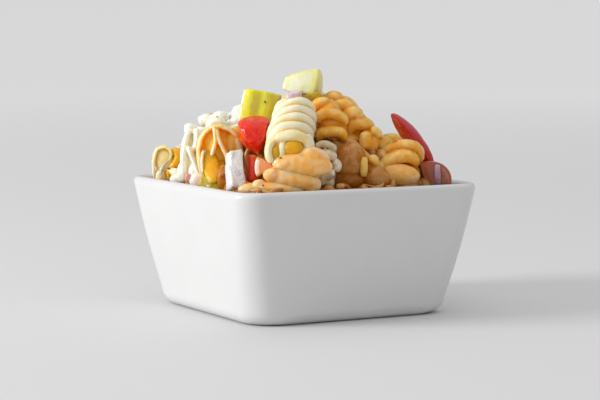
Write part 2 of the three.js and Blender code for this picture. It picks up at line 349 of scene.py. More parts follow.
class Bench:
    """Modelling steps that act on one mesh object at a time."""

    @staticmethod
    def clear() -> None:
        """Deselect everything and leave edit mode."""
        if bpy.context.object and bpy.context.object.mode != "OBJECT":
            bpy.ops.object.mode_set(mode="OBJECT")
        bpy.ops.object.select_all(action="DESELECT")

    @staticmethod
    def only(thing: Object) -> None:
        """Select one object, make it active and deselect the others."""
        Bench.clear()
        thing.select_set(True)
        bpy.context.view_layer.objects.active = thing

    @staticmethod
    def take(name: str) -> Object:
        """Name the primitive that was just added and return it."""
        thing = bpy.context.object
        thing.name = name
        thing.data.name = name
        return thing

    @staticmethod
    @contextmanager
    def editing(thing: Object) -> Iterator[None]:
        """Edit one object's mesh, with everything deselected at the start."""
        Bench.only(thing)
        bpy.ops.object.mode_set(mode="EDIT")
        bpy.ops.mesh.select_all(action="DESELECT")
        yield
        bpy.ops.object.mode_set(mode="OBJECT")

    @staticmethod
    def pick(thing: Object, wanted: Callable[[Vector], bool]) -> None:
        """Select the vertices of an object in edit mode at the places that are wanted, and no others."""
        bpy.ops.mesh.select_mode(type="VERT")
        work = bmesh.from_edit_mesh(thing.data)
        for vert in work.verts:
            vert.select_set(bool(wanted(vert.co)))
        work.select_flush_mode()
        bmesh.update_edit_mesh(thing.data)

    @staticmethod
    def widen(factor: float, height: float = 0.0) -> None:
        """Scale what is selected in edit mode across the Z axis, about a height on it."""
        bpy.ops.transform.resize(value=(factor, factor, 1.0), center_override=(0.0, 0.0, height))

    @staticmethod
    def modify(thing: Object, kind: str, **settings: object) -> None:
        """Add a modifier with its settings and apply it."""
        Bench.only(thing)
        bpy.ops.object.modifier_add(type=kind)
        modifier = thing.modifiers[-1]
        for key, value in settings.items():
            setattr(modifier, key, value)
        bpy.ops.object.modifier_apply(modifier=modifier.name)

    @staticmethod
    def put(thing: Object, matrix: Matrix) -> None:
        """Place an object and move the placing into its mesh."""
        Bench.only(thing)
        thing.matrix_world = matrix
        bpy.ops.object.transform_apply(location=True, rotation=True, scale=True)

    @staticmethod
    def join(things: Sequence[Object], name: str) -> Object:
        """Join objects into one of a new name and return it."""
        Bench.clear()
        for thing in things:
            thing.select_set(True)
        bpy.context.view_layer.objects.active = things[0]
        if len(things) > 1:
            bpy.ops.object.join()
        return Bench.take(name)

    @staticmethod
    def keep(thing: Object, name: str, values: Sequence[float]) -> None:
        """Keep one number for each vertex on the mesh, under a name."""
        thing.data.attributes.new(name, "FLOAT", "POINT").data.foreach_set("value", list(values))

    @staticmethod
    def smooth(thing: Object) -> None:
        """Shade an object smooth."""
        Bench.only(thing)
        bpy.ops.object.shade_smooth()

    @staticmethod
    def outward(thing: Object) -> None:
        """Merge doubles and turn all faces outwards."""
        with Bench.editing(thing):
            bpy.ops.mesh.select_all(action="SELECT")
            bpy.ops.mesh.remove_doubles(threshold=1e-6)
            bpy.ops.mesh.normals_make_consistent(inside=False)

    @staticmethod
    def tower(name: str, rings: Sequence[Triple], corner_steps: int) -> Object:
        """Raise a closed tower from a rounded square, ring by ring.

        Args:
            name: Its name.
            rings: Half width, corner radius and height of each ring.
            corner_steps: Edges round a corner.

        Returns:
            The tower, in millimetres.
        """
        half, corner, height = rings[0]
        Bench.clear()
        bpy.ops.mesh.primitive_plane_add(size=2 * half, location=(0.0, 0.0, height))
        tower = Bench.take(name)
        bpy.ops.object.transform_apply(location=True)
        with Bench.editing(tower):
            bpy.ops.mesh.select_all(action="SELECT")
            bpy.ops.mesh.bevel(
                offset_type="OFFSET", offset=corner, segments=corner_steps, profile=0.5, affect="VERTICES"
            )
            for now, then in zip(rings, rings[1:]):
                Bench.raise_ring(tower, now, then)
        Bench.outward(tower)
        return tower

    @staticmethod
    def raise_ring(tower: Object, now: Triple, then: Triple) -> None:
        """Extrude a tower's selected face in edit mode and bring its corners from one ring to the next."""
        bpy.ops.mesh.extrude_region_move(TRANSFORM_OT_translate={"value": (0.0, 0.0, then[2] - now[2])})
        top = [v.index for v in bmesh.from_edit_mesh(tower.data).verts if v.select]
        centre = now[0] - now[1]
        shift = then[0] - then[1] - centre
        ratio = then[1] / now[1]
        for sx, sy in ((1, 1), (-1, 1), (-1, -1), (1, -1)):
            work = bmesh.from_edit_mesh(tower.data)
            work.verts.ensure_lookup_table()
            bpy.ops.mesh.select_all(action="DESELECT")
            for index in top:
                place = work.verts[index].co
                work.verts[index].select_set(place.x * sx > 0 and place.y * sy > 0)
            work.select_flush_mode()
            middle = (sx * centre, sy * centre, then[2])
            bpy.ops.transform.resize(value=(ratio, ratio, 1.0), center_override=middle)
            bpy.ops.transform.translate(value=(sx * shift, sy * shift, 0.0))
        work = bmesh.from_edit_mesh(tower.data)
        work.verts.ensure_lookup_table()
        for index in top:
            work.verts[index].select_set(True)
        work.select_flush(True)
        bmesh.update_edit_mesh(tower.data)

    @staticmethod
    def soften(thing: Object, voxel: float, rounds: int) -> None:
        """Melt a closed piece into one skin and smooth it.

        Args:
            thing: The piece, in millimetres.
            voxel: Size of the skin's faces.
            rounds: How often it is smoothed.
        """
        Bench.modify(thing, "REMESH", mode="VOXEL", voxel_size=voxel, use_smooth_shade=True)
        Bench.drop_crumbs(thing)
        Bench.modify(thing, "SMOOTH", factor=0.5, iterations=rounds)

    @staticmethod
    def edges(mesh: Mesh) -> tuple[np.ndarray, np.ndarray]:
        """Return the first and the second vertex of each edge."""
        ends = np.empty(2 * len(mesh.edges), dtype=np.int64)
        mesh.edges.foreach_get("vertices", ends)
        return ends[0::2], ends[1::2]

    @staticmethod
    def drop_crumbs(thing: Object, least: int = 60) -> None:
        """Delete the stray crumbs that melting leaves, of fewer vertices than the least."""
        mesh = thing.data
        one, other = Bench.edges(mesh)
        part = np.arange(len(mesh.vertices))
        while np.any(part[one] != part[other]):
            lower = np.minimum(part[one], part[other])
            np.minimum.at(part, part[one], lower)
            np.minimum.at(part, part[other], lower)
            part = part[part]
        small = np.bincount(part, minlength=len(part))[part] < least
        if not small.any():
            return
        with Bench.editing(thing):
            bpy.ops.object.mode_set(mode="OBJECT")
            mesh.vertices.foreach_set("select", small)
            bpy.ops.object.mode_set(mode="EDIT")
            bpy.ops.mesh.delete(type="VERT")

    @staticmethod
    def ridges(thing: Object, rounds: int, height: float) -> np.ndarray:
        """Measure how far each vertex stands out of its surroundings.

        Args:
            thing: The piece.
            rounds: How widely the surroundings are averaged.
            height: Difference that counts as a full crest or crease.

        Returns:
            0 in a crease, 0.5 on an even face and 1 on a crest.
        """
        mesh = thing.data
        count = len(mesh.vertices)
        place = np.empty(3 * count)
        mesh.vertices.foreach_get("co", place)
        place = place.reshape(-1, 3)
        normal = np.empty(3 * count)
        mesh.vertices.foreach_get("normal", normal)
        one, other = Bench.edges(mesh)
        share = np.bincount(one, minlength=count) + np.bincount(other, minlength=count)
        even = place.copy()
        for _ in range(rounds):
            columns = []
            for axis in range(3):
                total = np.bincount(one, weights=even[other, axis], minlength=count)
                total += np.bincount(other, weights=even[one, axis], minlength=count)
                columns.append(total / share)
            even = 0.5 * even + 0.5 * np.stack(columns, axis=1)
        proud = ((place - even) * normal.reshape(-1, 3)).sum(axis=1)
        return np.clip(0.5 + proud / (2.0 * height), 0.0, 1.0)

    @staticmethod
    def dress(thing: Object, material: Material, slot: Slot, *nodes: str) -> None:
        """Shade a piece smooth, give it its material and tie it to the frame.

        Args:
            thing: The piece.
            material: Its material.
            slot: The record's slot of the piece; not used.
            nodes: The frame's nodes that it stands for.
        """
        Bench.smooth(thing)
        thing.data.materials.clear()
        thing.data.materials.append(material)
        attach(thing, BODY)
        if nodes:
            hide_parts(*nodes)
        LOG.info("%s: %d vertices, %d faces", thing.name, len(thing.data.vertices), len(thing.data.polygons))


def salad_matrix() -> Matrix:
    """Return the turn from the salad's frame in millimetres to the bowl's frame in metres."""
    return Matrix.Rotation(SALAD_TURN, 4, "Z") @ Matrix.Scale(MM, 4)


def turned(degrees: Triple) -> Matrix:
    """Return a turn about Z, then Y, then X, by the degrees given for X, Y and Z."""
    return Euler([math.radians(a) for a in degrees], "ZYX").to_matrix().to_4x4()


def set_back(x: float, y: float) -> float:
    """Return how far behind the bowl's middle a place of the bowl's frame lies, seen from the best side."""
    return x * math.sin(-SALAD_TURN) + y * math.cos(SALAD_TURN)


def node_middle(node: str) -> Vector:
    """Return the middle of a node's box in the frame, in metres."""
    return sum((Vector(corner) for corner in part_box(node)), Vector()) / 2


def clamp(value: float) -> float:
    """Return a value held between 0 and 1."""
    return min(1.0, max(0.0, value))


# ---- The studio ----


@dataclass
class Studio:
    """Pale floor that sweeps up far away, soft light and the camera."""

    floor_radius: float = 2.4
    sweep_radius: float = 2.0
    # Floor colour near the bowl and far from it; the change between them is painted light that evens out the
    # key light's fall-off.
    floor_colour: Colour = (0.72, 0.72, 0.72)
    far_colour: Colour = (0.93, 0.93, 0.93)
    horizon: float = 0.21
    zenith: float = 0.98
    key_watts: float = 11.1
    key_size: float = 0.45
    key_place: Triple = (-1.15, 0.26, 0.42)
    key_aim: float = 0.03
    azimuth: float = math.radians(-28.6)
    elevation: float = math.radians(6.2)
    distance: float = 0.6
    lens: float = 125.4
    sensor: float = 36.0
    aim_right: float = -0.34 * MM
    aim_height: float = 30.9 * MM
    stand_height: float = 20 * MM
    sweep_steps: int = 7
    sweep_degrees: float = 5

    def build(self) -> None:
        """Make the floor, the lights and the camera."""
        self.floor()
        self.world()
        self.lights()
        self.camera()

    def floor(self) -> None:
        """Make the floor: a wide disc whose far edge sweeps up all round, painted brighter away from the bowl
        to even out the key light.
        """
        Bench.clear()
        bpy.ops.mesh.primitive_circle_add(vertices=96, radius=self.floor_radius, fill_type="NGON")
        floor = Bench.take("floor")
        reach = self.floor_radius
        with Bench.editing(floor):
            for step in range(1, self.sweep_steps + 1):
                angle = math.radians(self.sweep_degrees * step)
                Bench.pick(floor, lambda p: p.xy.length > reach * 0.999)
                last = angle - math.radians(self.sweep_degrees)
                rise = self.sweep_radius * (math.cos(last) - math.cos(angle))
                bpy.ops.mesh.extrude_edges_move(TRANSFORM_OT_translate={"value": (0.0, 0.0, rise)})
                wider = self.floor_radius + self.sweep_radius * math.sin(angle)
                Bench.widen(wider / reach)
                reach = wider
        Bench.smooth(floor)
        graph = Graph("paper_floor")
        away = graph.node("ShaderNodeVectorMath", {"operation": "LENGTH"}, {0: graph.place()}, "Value")
        # Painted light: darker near the bowl, brighter far away, against the key light's fall-off; the faint
        # noise is real mottling.
        painted_light_fade = away.step(0.2, 1.7) - 0.02 * graph.noise(3.0)
        colour = graph.mix(painted_light_fade, self.floor_colour, self.far_colour)
        look = {"Base Color": colour, "Roughness": 0.7, "Specular IOR Level": 0.2}
        floor.data.materials.append(graph.finish(look))

    def world(self) -> None:
        """Light the table from a bright ceiling that darkens towards the horizon."""
        world = bpy.data.worlds.new("studio")
        bpy.context.scene.world = world
        world.use_nodes = True
        nodes, links = world.node_tree.nodes, world.node_tree.links
        split = nodes.new("ShaderNodeSeparateXYZ")
        links.new(nodes.new("ShaderNodeTexCoord").outputs["Generated"], split.inputs[0])
        level = nodes.new("ShaderNodeMapRange")
        links.new(split.outputs["Z"], level.inputs["Value"])
        level.inputs["To Min"].default_value = self.horizon
        level.inputs["To Max"].default_value = self.zenith
        background = nodes["Background"]
        background.inputs["Color"].default_value = (1.0, 1.0, 1.0, 1.0)
        links.new(level.outputs[0], background.inputs["Strength"])

    def lights(self) -> None:
        """Hang the soft key light low on the left, a little behind the bowl's left wall, facing the bowl."""
        light = bpy.data.lights.new("key", "AREA")
        light.shape = "SQUARE"
        light.size = self.key_size
        light.energy = self.key_watts
        lamp = bpy.data.objects.new("key", light)
        bpy.context.collection.objects.link(lamp)
        lamp.location = self.key_place
        way = Vector((0.0, 0.0, self.key_aim)) - Vector(self.key_place)
        lamp.rotation_euler = way.to_track_quat("-Z", "Y").to_euler()

    def camera(self) -> None:
        """Stand the camera at the salad's best side."""
        data = bpy.data.cameras.new("camera")
        data.lens = self.lens
        data.sensor_width = self.sensor
        camera = bpy.data.objects.new("camera", data)
        bpy.context.collection.objects.link(camera)
        right = Vector((math.cos(self.azimuth), math.sin(self.azimuth), 0.0))
        back = Vector((math.sin(self.azimuth), -math.cos(self.azimuth), 0.0))
        place = back * math.cos(self.elevation) + Vector((0.0, 0.0, math.sin(self.elevation)))
        camera.location = place * self.distance + Vector((0.0, 0.0, self.stand_height))
        target = right * self.aim_right + Vector((0.0, 0.0, self.aim_height))
        camera.rotation_euler = (target - camera.location).to_track_quat("-Z", "Y").to_euler()
        bpy.context.scene.camera = camera
        bpy.context.scene.view_settings.view_transform = "Standard"


# ---- The bowl ----


@dataclass
class PorcelainBowl:
    """Square bowl with flared walls, rounded corners, a round lip and a shallow foot."""

    finish: PorcelainFinish = PorcelainFinish()
    rim_half: float = 38.0
    height: float = 37.0
    foot_half: float = 28.2
    foot_width: float = 3.0
    foot_recess: float = 0.8
    heel_half: float = 32.2
    heel_rise: float = 4.2
    belly: float = 0.35
    wall: float = 3.0
    floor: float = 4.2
    inner_heel: float = 7.0
    corner_foot: float = 9.0
    corner_rim: float = 7.5
    corner_steps: int = 10

    def outer_half(self, z: float) -> float:
        """Return the outer half width at a height."""
        if z < self.heel_rise:
            left = 1.0 - z / self.heel_rise
            return self.foot_half + (self.heel_half - self.foot_half) * math.sqrt(1.0 - left * left)
        share = (z - self.heel_rise) / (self.height - self.wall / 2 - self.heel_rise)
        bulge = self.belly * math.sin(math.pi * share)
        return self.heel_half + (self.rim_half - self.heel_half) * share + bulge

    def outer_corner(self, z: float) -> float:
        """Return the outer corner radius at a height."""
        return self.corner_foot + (self.corner_rim - self.corner_foot) * z / self.height

    def inner_half(self, z: float) -> float:
        """Return the inner half width at a height."""
        left = clamp(1.0 - (z - self.floor) / self.inner_heel)
        return self.outer_half(z) - self.wall - self.inner_heel * (1.0 - math.sqrt(1.0 - left * left))

    def rings(self) -> list[Triple]:
        """Return each ring's half width, corner radius and height, from the foot to the inner floor."""
        foot = self.foot_half - self.foot_width
        corner = self.corner_foot - self.foot_width
        rings = [
            (foot - 1.0, corner - 1.0, self.foot_recess), (foot - 0.4, corner - 0.4, self.foot_recess * 0.8),
            (foot, corner, 0.25), (foot + 0.4, corner + 0.4, 0.0), (self.foot_half - 0.5, corner + 2.5, 0.0),
        ]
        heights = [0.12, 0.4, 0.85, 1.5, 2.3, 3.2, 4.2, 6, 9, 13, 17, 21, 25, 29, 32, 34.4]
        rings += [(self.outer_half(z), self.outer_corner(z), z) for z in heights]
        lip = self.wall / 2
        for degrees in range(0, 181, 18):
            out = lip * math.cos(math.radians(degrees))
            up = lip * math.sin(math.radians(degrees))
            rings.append((self.rim_half - lip + out, self.corner_rim - lip + out, self.height - lip + up))
        heights = [34.4, 30, 24, 18, 13, 11.2, 9.4, 7.8, 6.5, 5.5, 4.8, 4.35, 4.2]
        rings += [(self.inner_half(z), self.outer_corner(z) - self.wall, z) for z in heights]
        return rings

    def build(self) -> Object:
        """Raise the bowl ring by ring and return it."""
        bowl = Bench.tower("porcelain_bowl", self.rings(), self.corner_steps)
        Bench.put(bowl, Matrix.Scale(MM, 4))
        Bench.dress(bowl, self.finish.material(), Slot.PORCELAIN, "bowl")
        return bowl


# ---- The pasta ----


class Kind(Enum):
    """Sorts of pasta in the salad."""

    PLAIN = "plain_pasta"
    WHITE = "white_pasta"
    PALE = "pale_pasta"
    ORANGE = "orange_pasta"
    AMBER = "amber_pasta"
    PEACH = "peach_pasta"
    TAN = "tan_pasta"
    # Tan pasta painted darker: painted shade for pieces that lie in shade.
    BROWN = "shaded_brown_pasta"


PASTA_FINISHES: dict[Kind, PastaFinish] = {Kind(finish.name): finish for finish in (
    PastaFinish("plain_pasta", (0.95, 0.88, 0.66), (0.95, 0.76, 0.36), (0.96, 0.52, 0.03), 0.7),
    PastaFinish("white_pasta", (0.97, 0.97, 0.9), (0.95, 0.93, 0.78), (0.93, 0.84, 0.48), 0.5),
    PastaFinish("pale_pasta", (0.86, 0.8, 0.66), (0.66, 0.52, 0.32), (0.36, 0.2, 0.06), 0.5),
    PastaFinish("orange_pasta", (0.98, 0.93, 0.8), (1.0, 0.56, 0.02), (1.0, 0.38, 0.0), 0.35,
                patchy=0.1, gloss=0.1, softness=0.85, reach=0.004),
    PastaFinish("amber_pasta", (1.0, 0.5, 0.02), (1.0, 0.42, 0.004), (0.96, 0.29, 0.0), 0.35,
                patchy=0.1, gloss=0.1, softness=0.85, reach=0.004),
    PastaFinish("peach_pasta", (0.99, 0.82, 0.6), (0.97, 0.48, 0.1), (0.94, 0.34, 0.02), 0.5, patchy=0.2),
    PastaFinish("tan_pasta", (0.97, 0.62, 0.18), (0.9, 0.43, 0.035), (0.72, 0.22, 0.003), 0.55, patchy=0.45),
    # Brown pasta: tan pasta painted darker, as painted shade.
    PastaFinish("shaded_brown_pasta", (0.66, 0.34, 0.09), (0.49, 0.165, 0.009), (0.24, 0.055, 0.002), 0.5,
                patchy=0.5),
)}


@dataclass
class Corkscrew:
    """One twisted piece of pasta between two points in the salad's frame."""

    start: Triple
    end: Triple
    radius: float
    turns: float
    roll: float
    kind: Kind
    depth: float = 0.42
    blunt: float = 0.5
    bow: float = 0.6
    blades: int = 3
    uneven: float = 0.5
    swelling: float = 0.07
    thinning: float = 0.1

    # Edges round the section, steps to a full turn, and the length and width of each ring of a rounded end.
    SECTION: ClassVar[int] = 48
    STEPS: ClassVar[int] = 34
    END: ClassVar[Sequence[tuple[float, float]]] = ((0.28, 0.975), (0.12, 0.93), (0.02, 0.6), (0.0, 0.02))

    def reach(self, share: float) -> float:
        """Return the radius at a share of the way across a blade, 0 or 1 in a valley and 0.5 on its crest."""
        crest = math.sin(math.pi * share) ** self.blunt if 0.0 < share < 1.0 else 0.0
        return self.radius * (1.0 - self.depth + self.depth * crest)

    def section(self) -> Object:
        """Return the section, an open ring of edges, cut from a circle by drawing its valleys in."""
        Bench.clear()
        bpy.ops.mesh.primitive_circle_add(vertices=self.SECTION, radius=self.radius, fill_type="NOTHING")
        ring = Bench.take("section")
        per_blade = self.SECTION // self.blades
        with Bench.editing(ring):
            for step in range(per_blade // 2 + 1):
                Bench.pick(ring, lambda p: self.across(p, per_blade) == step)
                Bench.widen(self.reach(step / per_blade) / self.radius)
        return ring

    def across(self, place: Vector, per_blade: int) -> int:
        """Return how many steps a point of the section lies from its nearest valley."""
        turn = math.atan2(place.x, place.y) / (2 * math.pi) * self.SECTION
        step = round(turn) % per_blade
        return min(step, per_blade - step)

    def build(self) -> Object:
        """Return the piece: the section twisted along its axis, closed at both ends and laid in its place."""
        piece = self.section()
        length = (Vector(self.end) - Vector(self.start)).length
        steps = max(12, round(self.turns * self.STEPS))
        turn = self.turns * 2 * math.pi
        Bench.modify(
            piece, "SCREW", angle=turn, screw_offset=length, steps=steps, render_steps=steps, axis="Z",
            use_smooth_shade=True,
        )
        self.close_ends(piece, length)
        self.knead(piece, length)
        self.lay(piece)
        return piece

    def close_ends(self, piece: Object, length: float) -> None:
        """Round both cut ends of the open twisted tube of a length and close them."""
        with Bench.editing(piece):
            for height, sign in ((0.0, -1.0), (length, 1.0)):
                Bench.pick(piece, lambda p: abs(p.z - height) < 1e-3)
                for out, factor in self.END:
                    shift = {"value": (0.0, 0.0, sign * out)}
                    bpy.ops.mesh.extrude_edges_move(TRANSFORM_OT_translate=shift)
                    Bench.widen(factor, height)
                bpy.ops.mesh.merge(type="CENTER")
        Bench.outward(piece)

    def knead(self, piece: Object, length: float) -> None:
        """Keep each point's place between valley and crest, then make the piece a little uneven and bowed.

        Args:
            piece: The closed piece, along Z.
            length: Its length.
        """
        low = self.radius * (1.0 - self.depth)
        span = self.radius - low
        verts = piece.data.vertices
        crest = [clamp((v.co.xy.length - low) / span) for v in verts]
        Bench.keep(piece, "crest", crest)
        # The deep measure steers painted shade in creases and painted highlight on crests in the pasta's
        # material.
        Bench.keep(piece, "deep", [0.2 + 0.8 * c for c in crest])
        seed = Vector(self.start) * 0.37 + Vector((self.roll, self.turns, 0.0))
        for v in verts:
            along = v.co.z / length
            sway = noise.noise_vector(seed + Vector((0.0, 0.0, along * 2.0)))
            thinned = self.thinning * max(0.0, abs(along - 0.5) * 2 - 0.75)
            swell = 1.0 + self.swelling * noise.noise(seed + v.co * 0.22) - thinned
            v.co.x = v.co.x * swell + self.bow * (1.0 - (2 * along - 1.0) ** 2) + self.uneven * sway.x
            v.co.y = v.co.y * swell + self.uneven * sway.y
            v.co.z += self.uneven * noise.noise(seed + v.co * 0.18)

    def lay(self, piece: Object) -> None:
        """Lay the piece, which runs along Z from the origin, from its start to its end."""
        along = (Vector(self.end) - Vector(self.start)).normalized()
        turn = Vector((0.0, 0.0, 1.0)).rotation_difference(along).to_matrix().to_4x4()
        roll = Matrix.Rotation(math.radians(self.roll), 4, "Z")
        Bench.put(piece, salad_matrix() @ Matrix.Translation(self.start) @ turn @ roll)


@dataclass
class Roll:
    """A soft roll of dough bent through points of the salad's frame, one edge or lobe of a corkscrew."""

    path: Sequence[Triple]
    thick: float
    deep: float = 1.0
    taper: float = 5.0
    toward: Triple = (0.0, 1.0, 0.0)

    def along(self, share: float) -> Vector:
        """Return the place on the path at a share of its length, on a smooth curve through its points."""
        points = [Vector(p) for p in self.path]
        if len(points) == 1:
            return points[0]
        points = [2 * points[0] - points[1], *points, 2 * points[-1] - points[-2]]
        spot = min(max(share, 0.0), 0.9999) * (len(self.path) - 1)
        i, t = int(spot) + 1, spot % 1.0
        a, b, c, d = points[i - 1 : i + 3]
        curve = 2 * b + (c - a) * t + (2 * a - 5 * b + 4 * c - d) * t * t + (3 * b - a - 3 * c + d) * t**3
        return 0.5 * curve

    def build(self) -> Object:
        """Return the roll, a ball drawn out along the path, in millimetres of the salad's frame."""
        Bench.clear()
        bpy.ops.mesh.primitive_uv_sphere_add(segments=14, ring_count=18, radius=1.0)
        roll = Bench.take("roll")
        deep = Vector(self.toward).normalized()
        for v in roll.data.vertices:
            share = 0.5 + 0.5 * v.co.z
            span = max(1e-6, v.co.xy.length)
            girth = math.sqrt(max(0.0, 1.0 - abs(v.co.z) ** self.taper))
            before, after = self.along(share - 0.02), self.along(share + 0.02)
            tangent = (after - before).normalized()
            side = (deep - tangent * deep.dot(tangent)).normalized()
            up = tangent.cross(side)
            flat = self.thick * girth * v.co.x / span
            back = self.thick * self.deep * girth * v.co.y / span
            v.co = self.along(share) + up * flat + side * back
        return roll


@dataclass
class Lump:
    """A soft lump of dough, such as the middle of a corkscrew between its edges."""

    middle: Triple
    radii: Triple
    lean: float = 0.0

    def build(self) -> Object:
        """Return the lump, in millimetres of the salad's frame."""
        Bench.clear()
        bpy.ops.mesh.primitive_uv_sphere_add(segments=20, ring_count=14, radius=1.0)
        lump = Bench.take("lump")
        turn = Matrix.Rotation(math.radians(self.lean), 4, "Y")
        Bench.put(lump, Matrix.Translation(self.middle) @ turn @ Matrix.Diagonal((*self.radii, 1.0)))
        return lump


@dataclass
class Curl:
    """One piece of pasta whose edges and lobes lie open to view, melted into one skin."""

    kind: Kind
    parts: Sequence[Union[Roll, Lump]]
    voxel: float = 0.3
    rounds: int = 2
    crest_height: float = 0.3
    crest_rounds: int = 14
    deep_height: float = 1.0
    deep_rounds: int = 70
    uneven: float = 0.12

    def build(self) -> Object:
        """Return the piece of pasta: its rolls and lumps melted together."""
        curl = Bench.join([part.build() for part in self.parts], "curl")
        Bench.soften(curl, self.voxel, self.rounds)
        Bench.keep(curl, "crest", Bench.ridges(curl, self.crest_rounds, self.crest_height))
        # The deep measure steers painted shade in creases and painted highlight on crests in the pasta's
        # material.
        Bench.keep(curl, "deep", Bench.ridges(curl, self.deep_rounds, self.deep_height))
        for v in curl.data.vertices:
            v.co += self.uneven * noise.noise_vector(v.co * 0.6)
        Bench.put(curl, salad_matrix())
        return curl


P, V, W, O, A = Kind.PLAIN, Kind.WHITE, Kind.PALE, Kind.ORANGE, Kind.AMBER
C, T, B = Kind.PEACH, Kind.TAN, Kind.BROWN

CORKSCREWS = [
    Corkscrew((-1.7, -15.6, 57.0), (-3.7, -28.2, 46.6), 6.3, 1.6, 0, P, 0.24, 0.5, 0.0),
    Corkscrew((-37.4, 14, 40), (-26, 18.6, 39), 4.2, 1.0, 0, O),
    Corkscrew((-29.6, 10, 47.5), (-30.4, 8, 34), 4.4, 1.2, 60, V, 0.5, 0.8),
    Corkscrew((-29, 5, 47.6), (-18, 6, 51.4), 4.4, 1.2, 20, V),
    Corkscrew((-16.4, 1, 56.2), (-20.4, -6, 46), 3.7, 1.2, 0, V),
    Corkscrew((-26, 14, 48), (-8, 20, 53), 6.4, 1.4, 0, P),
    Corkscrew((-3, 10, 56.6), (10, 6.4, 55.6), 6.0, 1.4, 50, T),
    Corkscrew((-4.4, 0, 56.4), (8, -3, 57.2), 4.6, 1.1, 15, T),
    Corkscrew((17, 6, 46.4), (27, 9, 41), 5.2, 1.2, 20, T),
    Corkscrew((-12, 25, 45), (8, 24, 50), 6.4, 1.6, 0, O),
    Corkscrew((12, 35, 40), (18.4, 20, 45.4), 5.8, 1.6, 70, C),
    Corkscrew((-34, 12, 41), (-20, 20, 42), 6.0, 1.4, 0, C),
    Corkscrew((25, 11, 41), (31.2, -1.6, 40.6), 5.4, 1.4, 0, T),
    Corkscrew((2, 33.5, 38), (-12, 27, 38), 5.6, 1.4, 30, P),
]

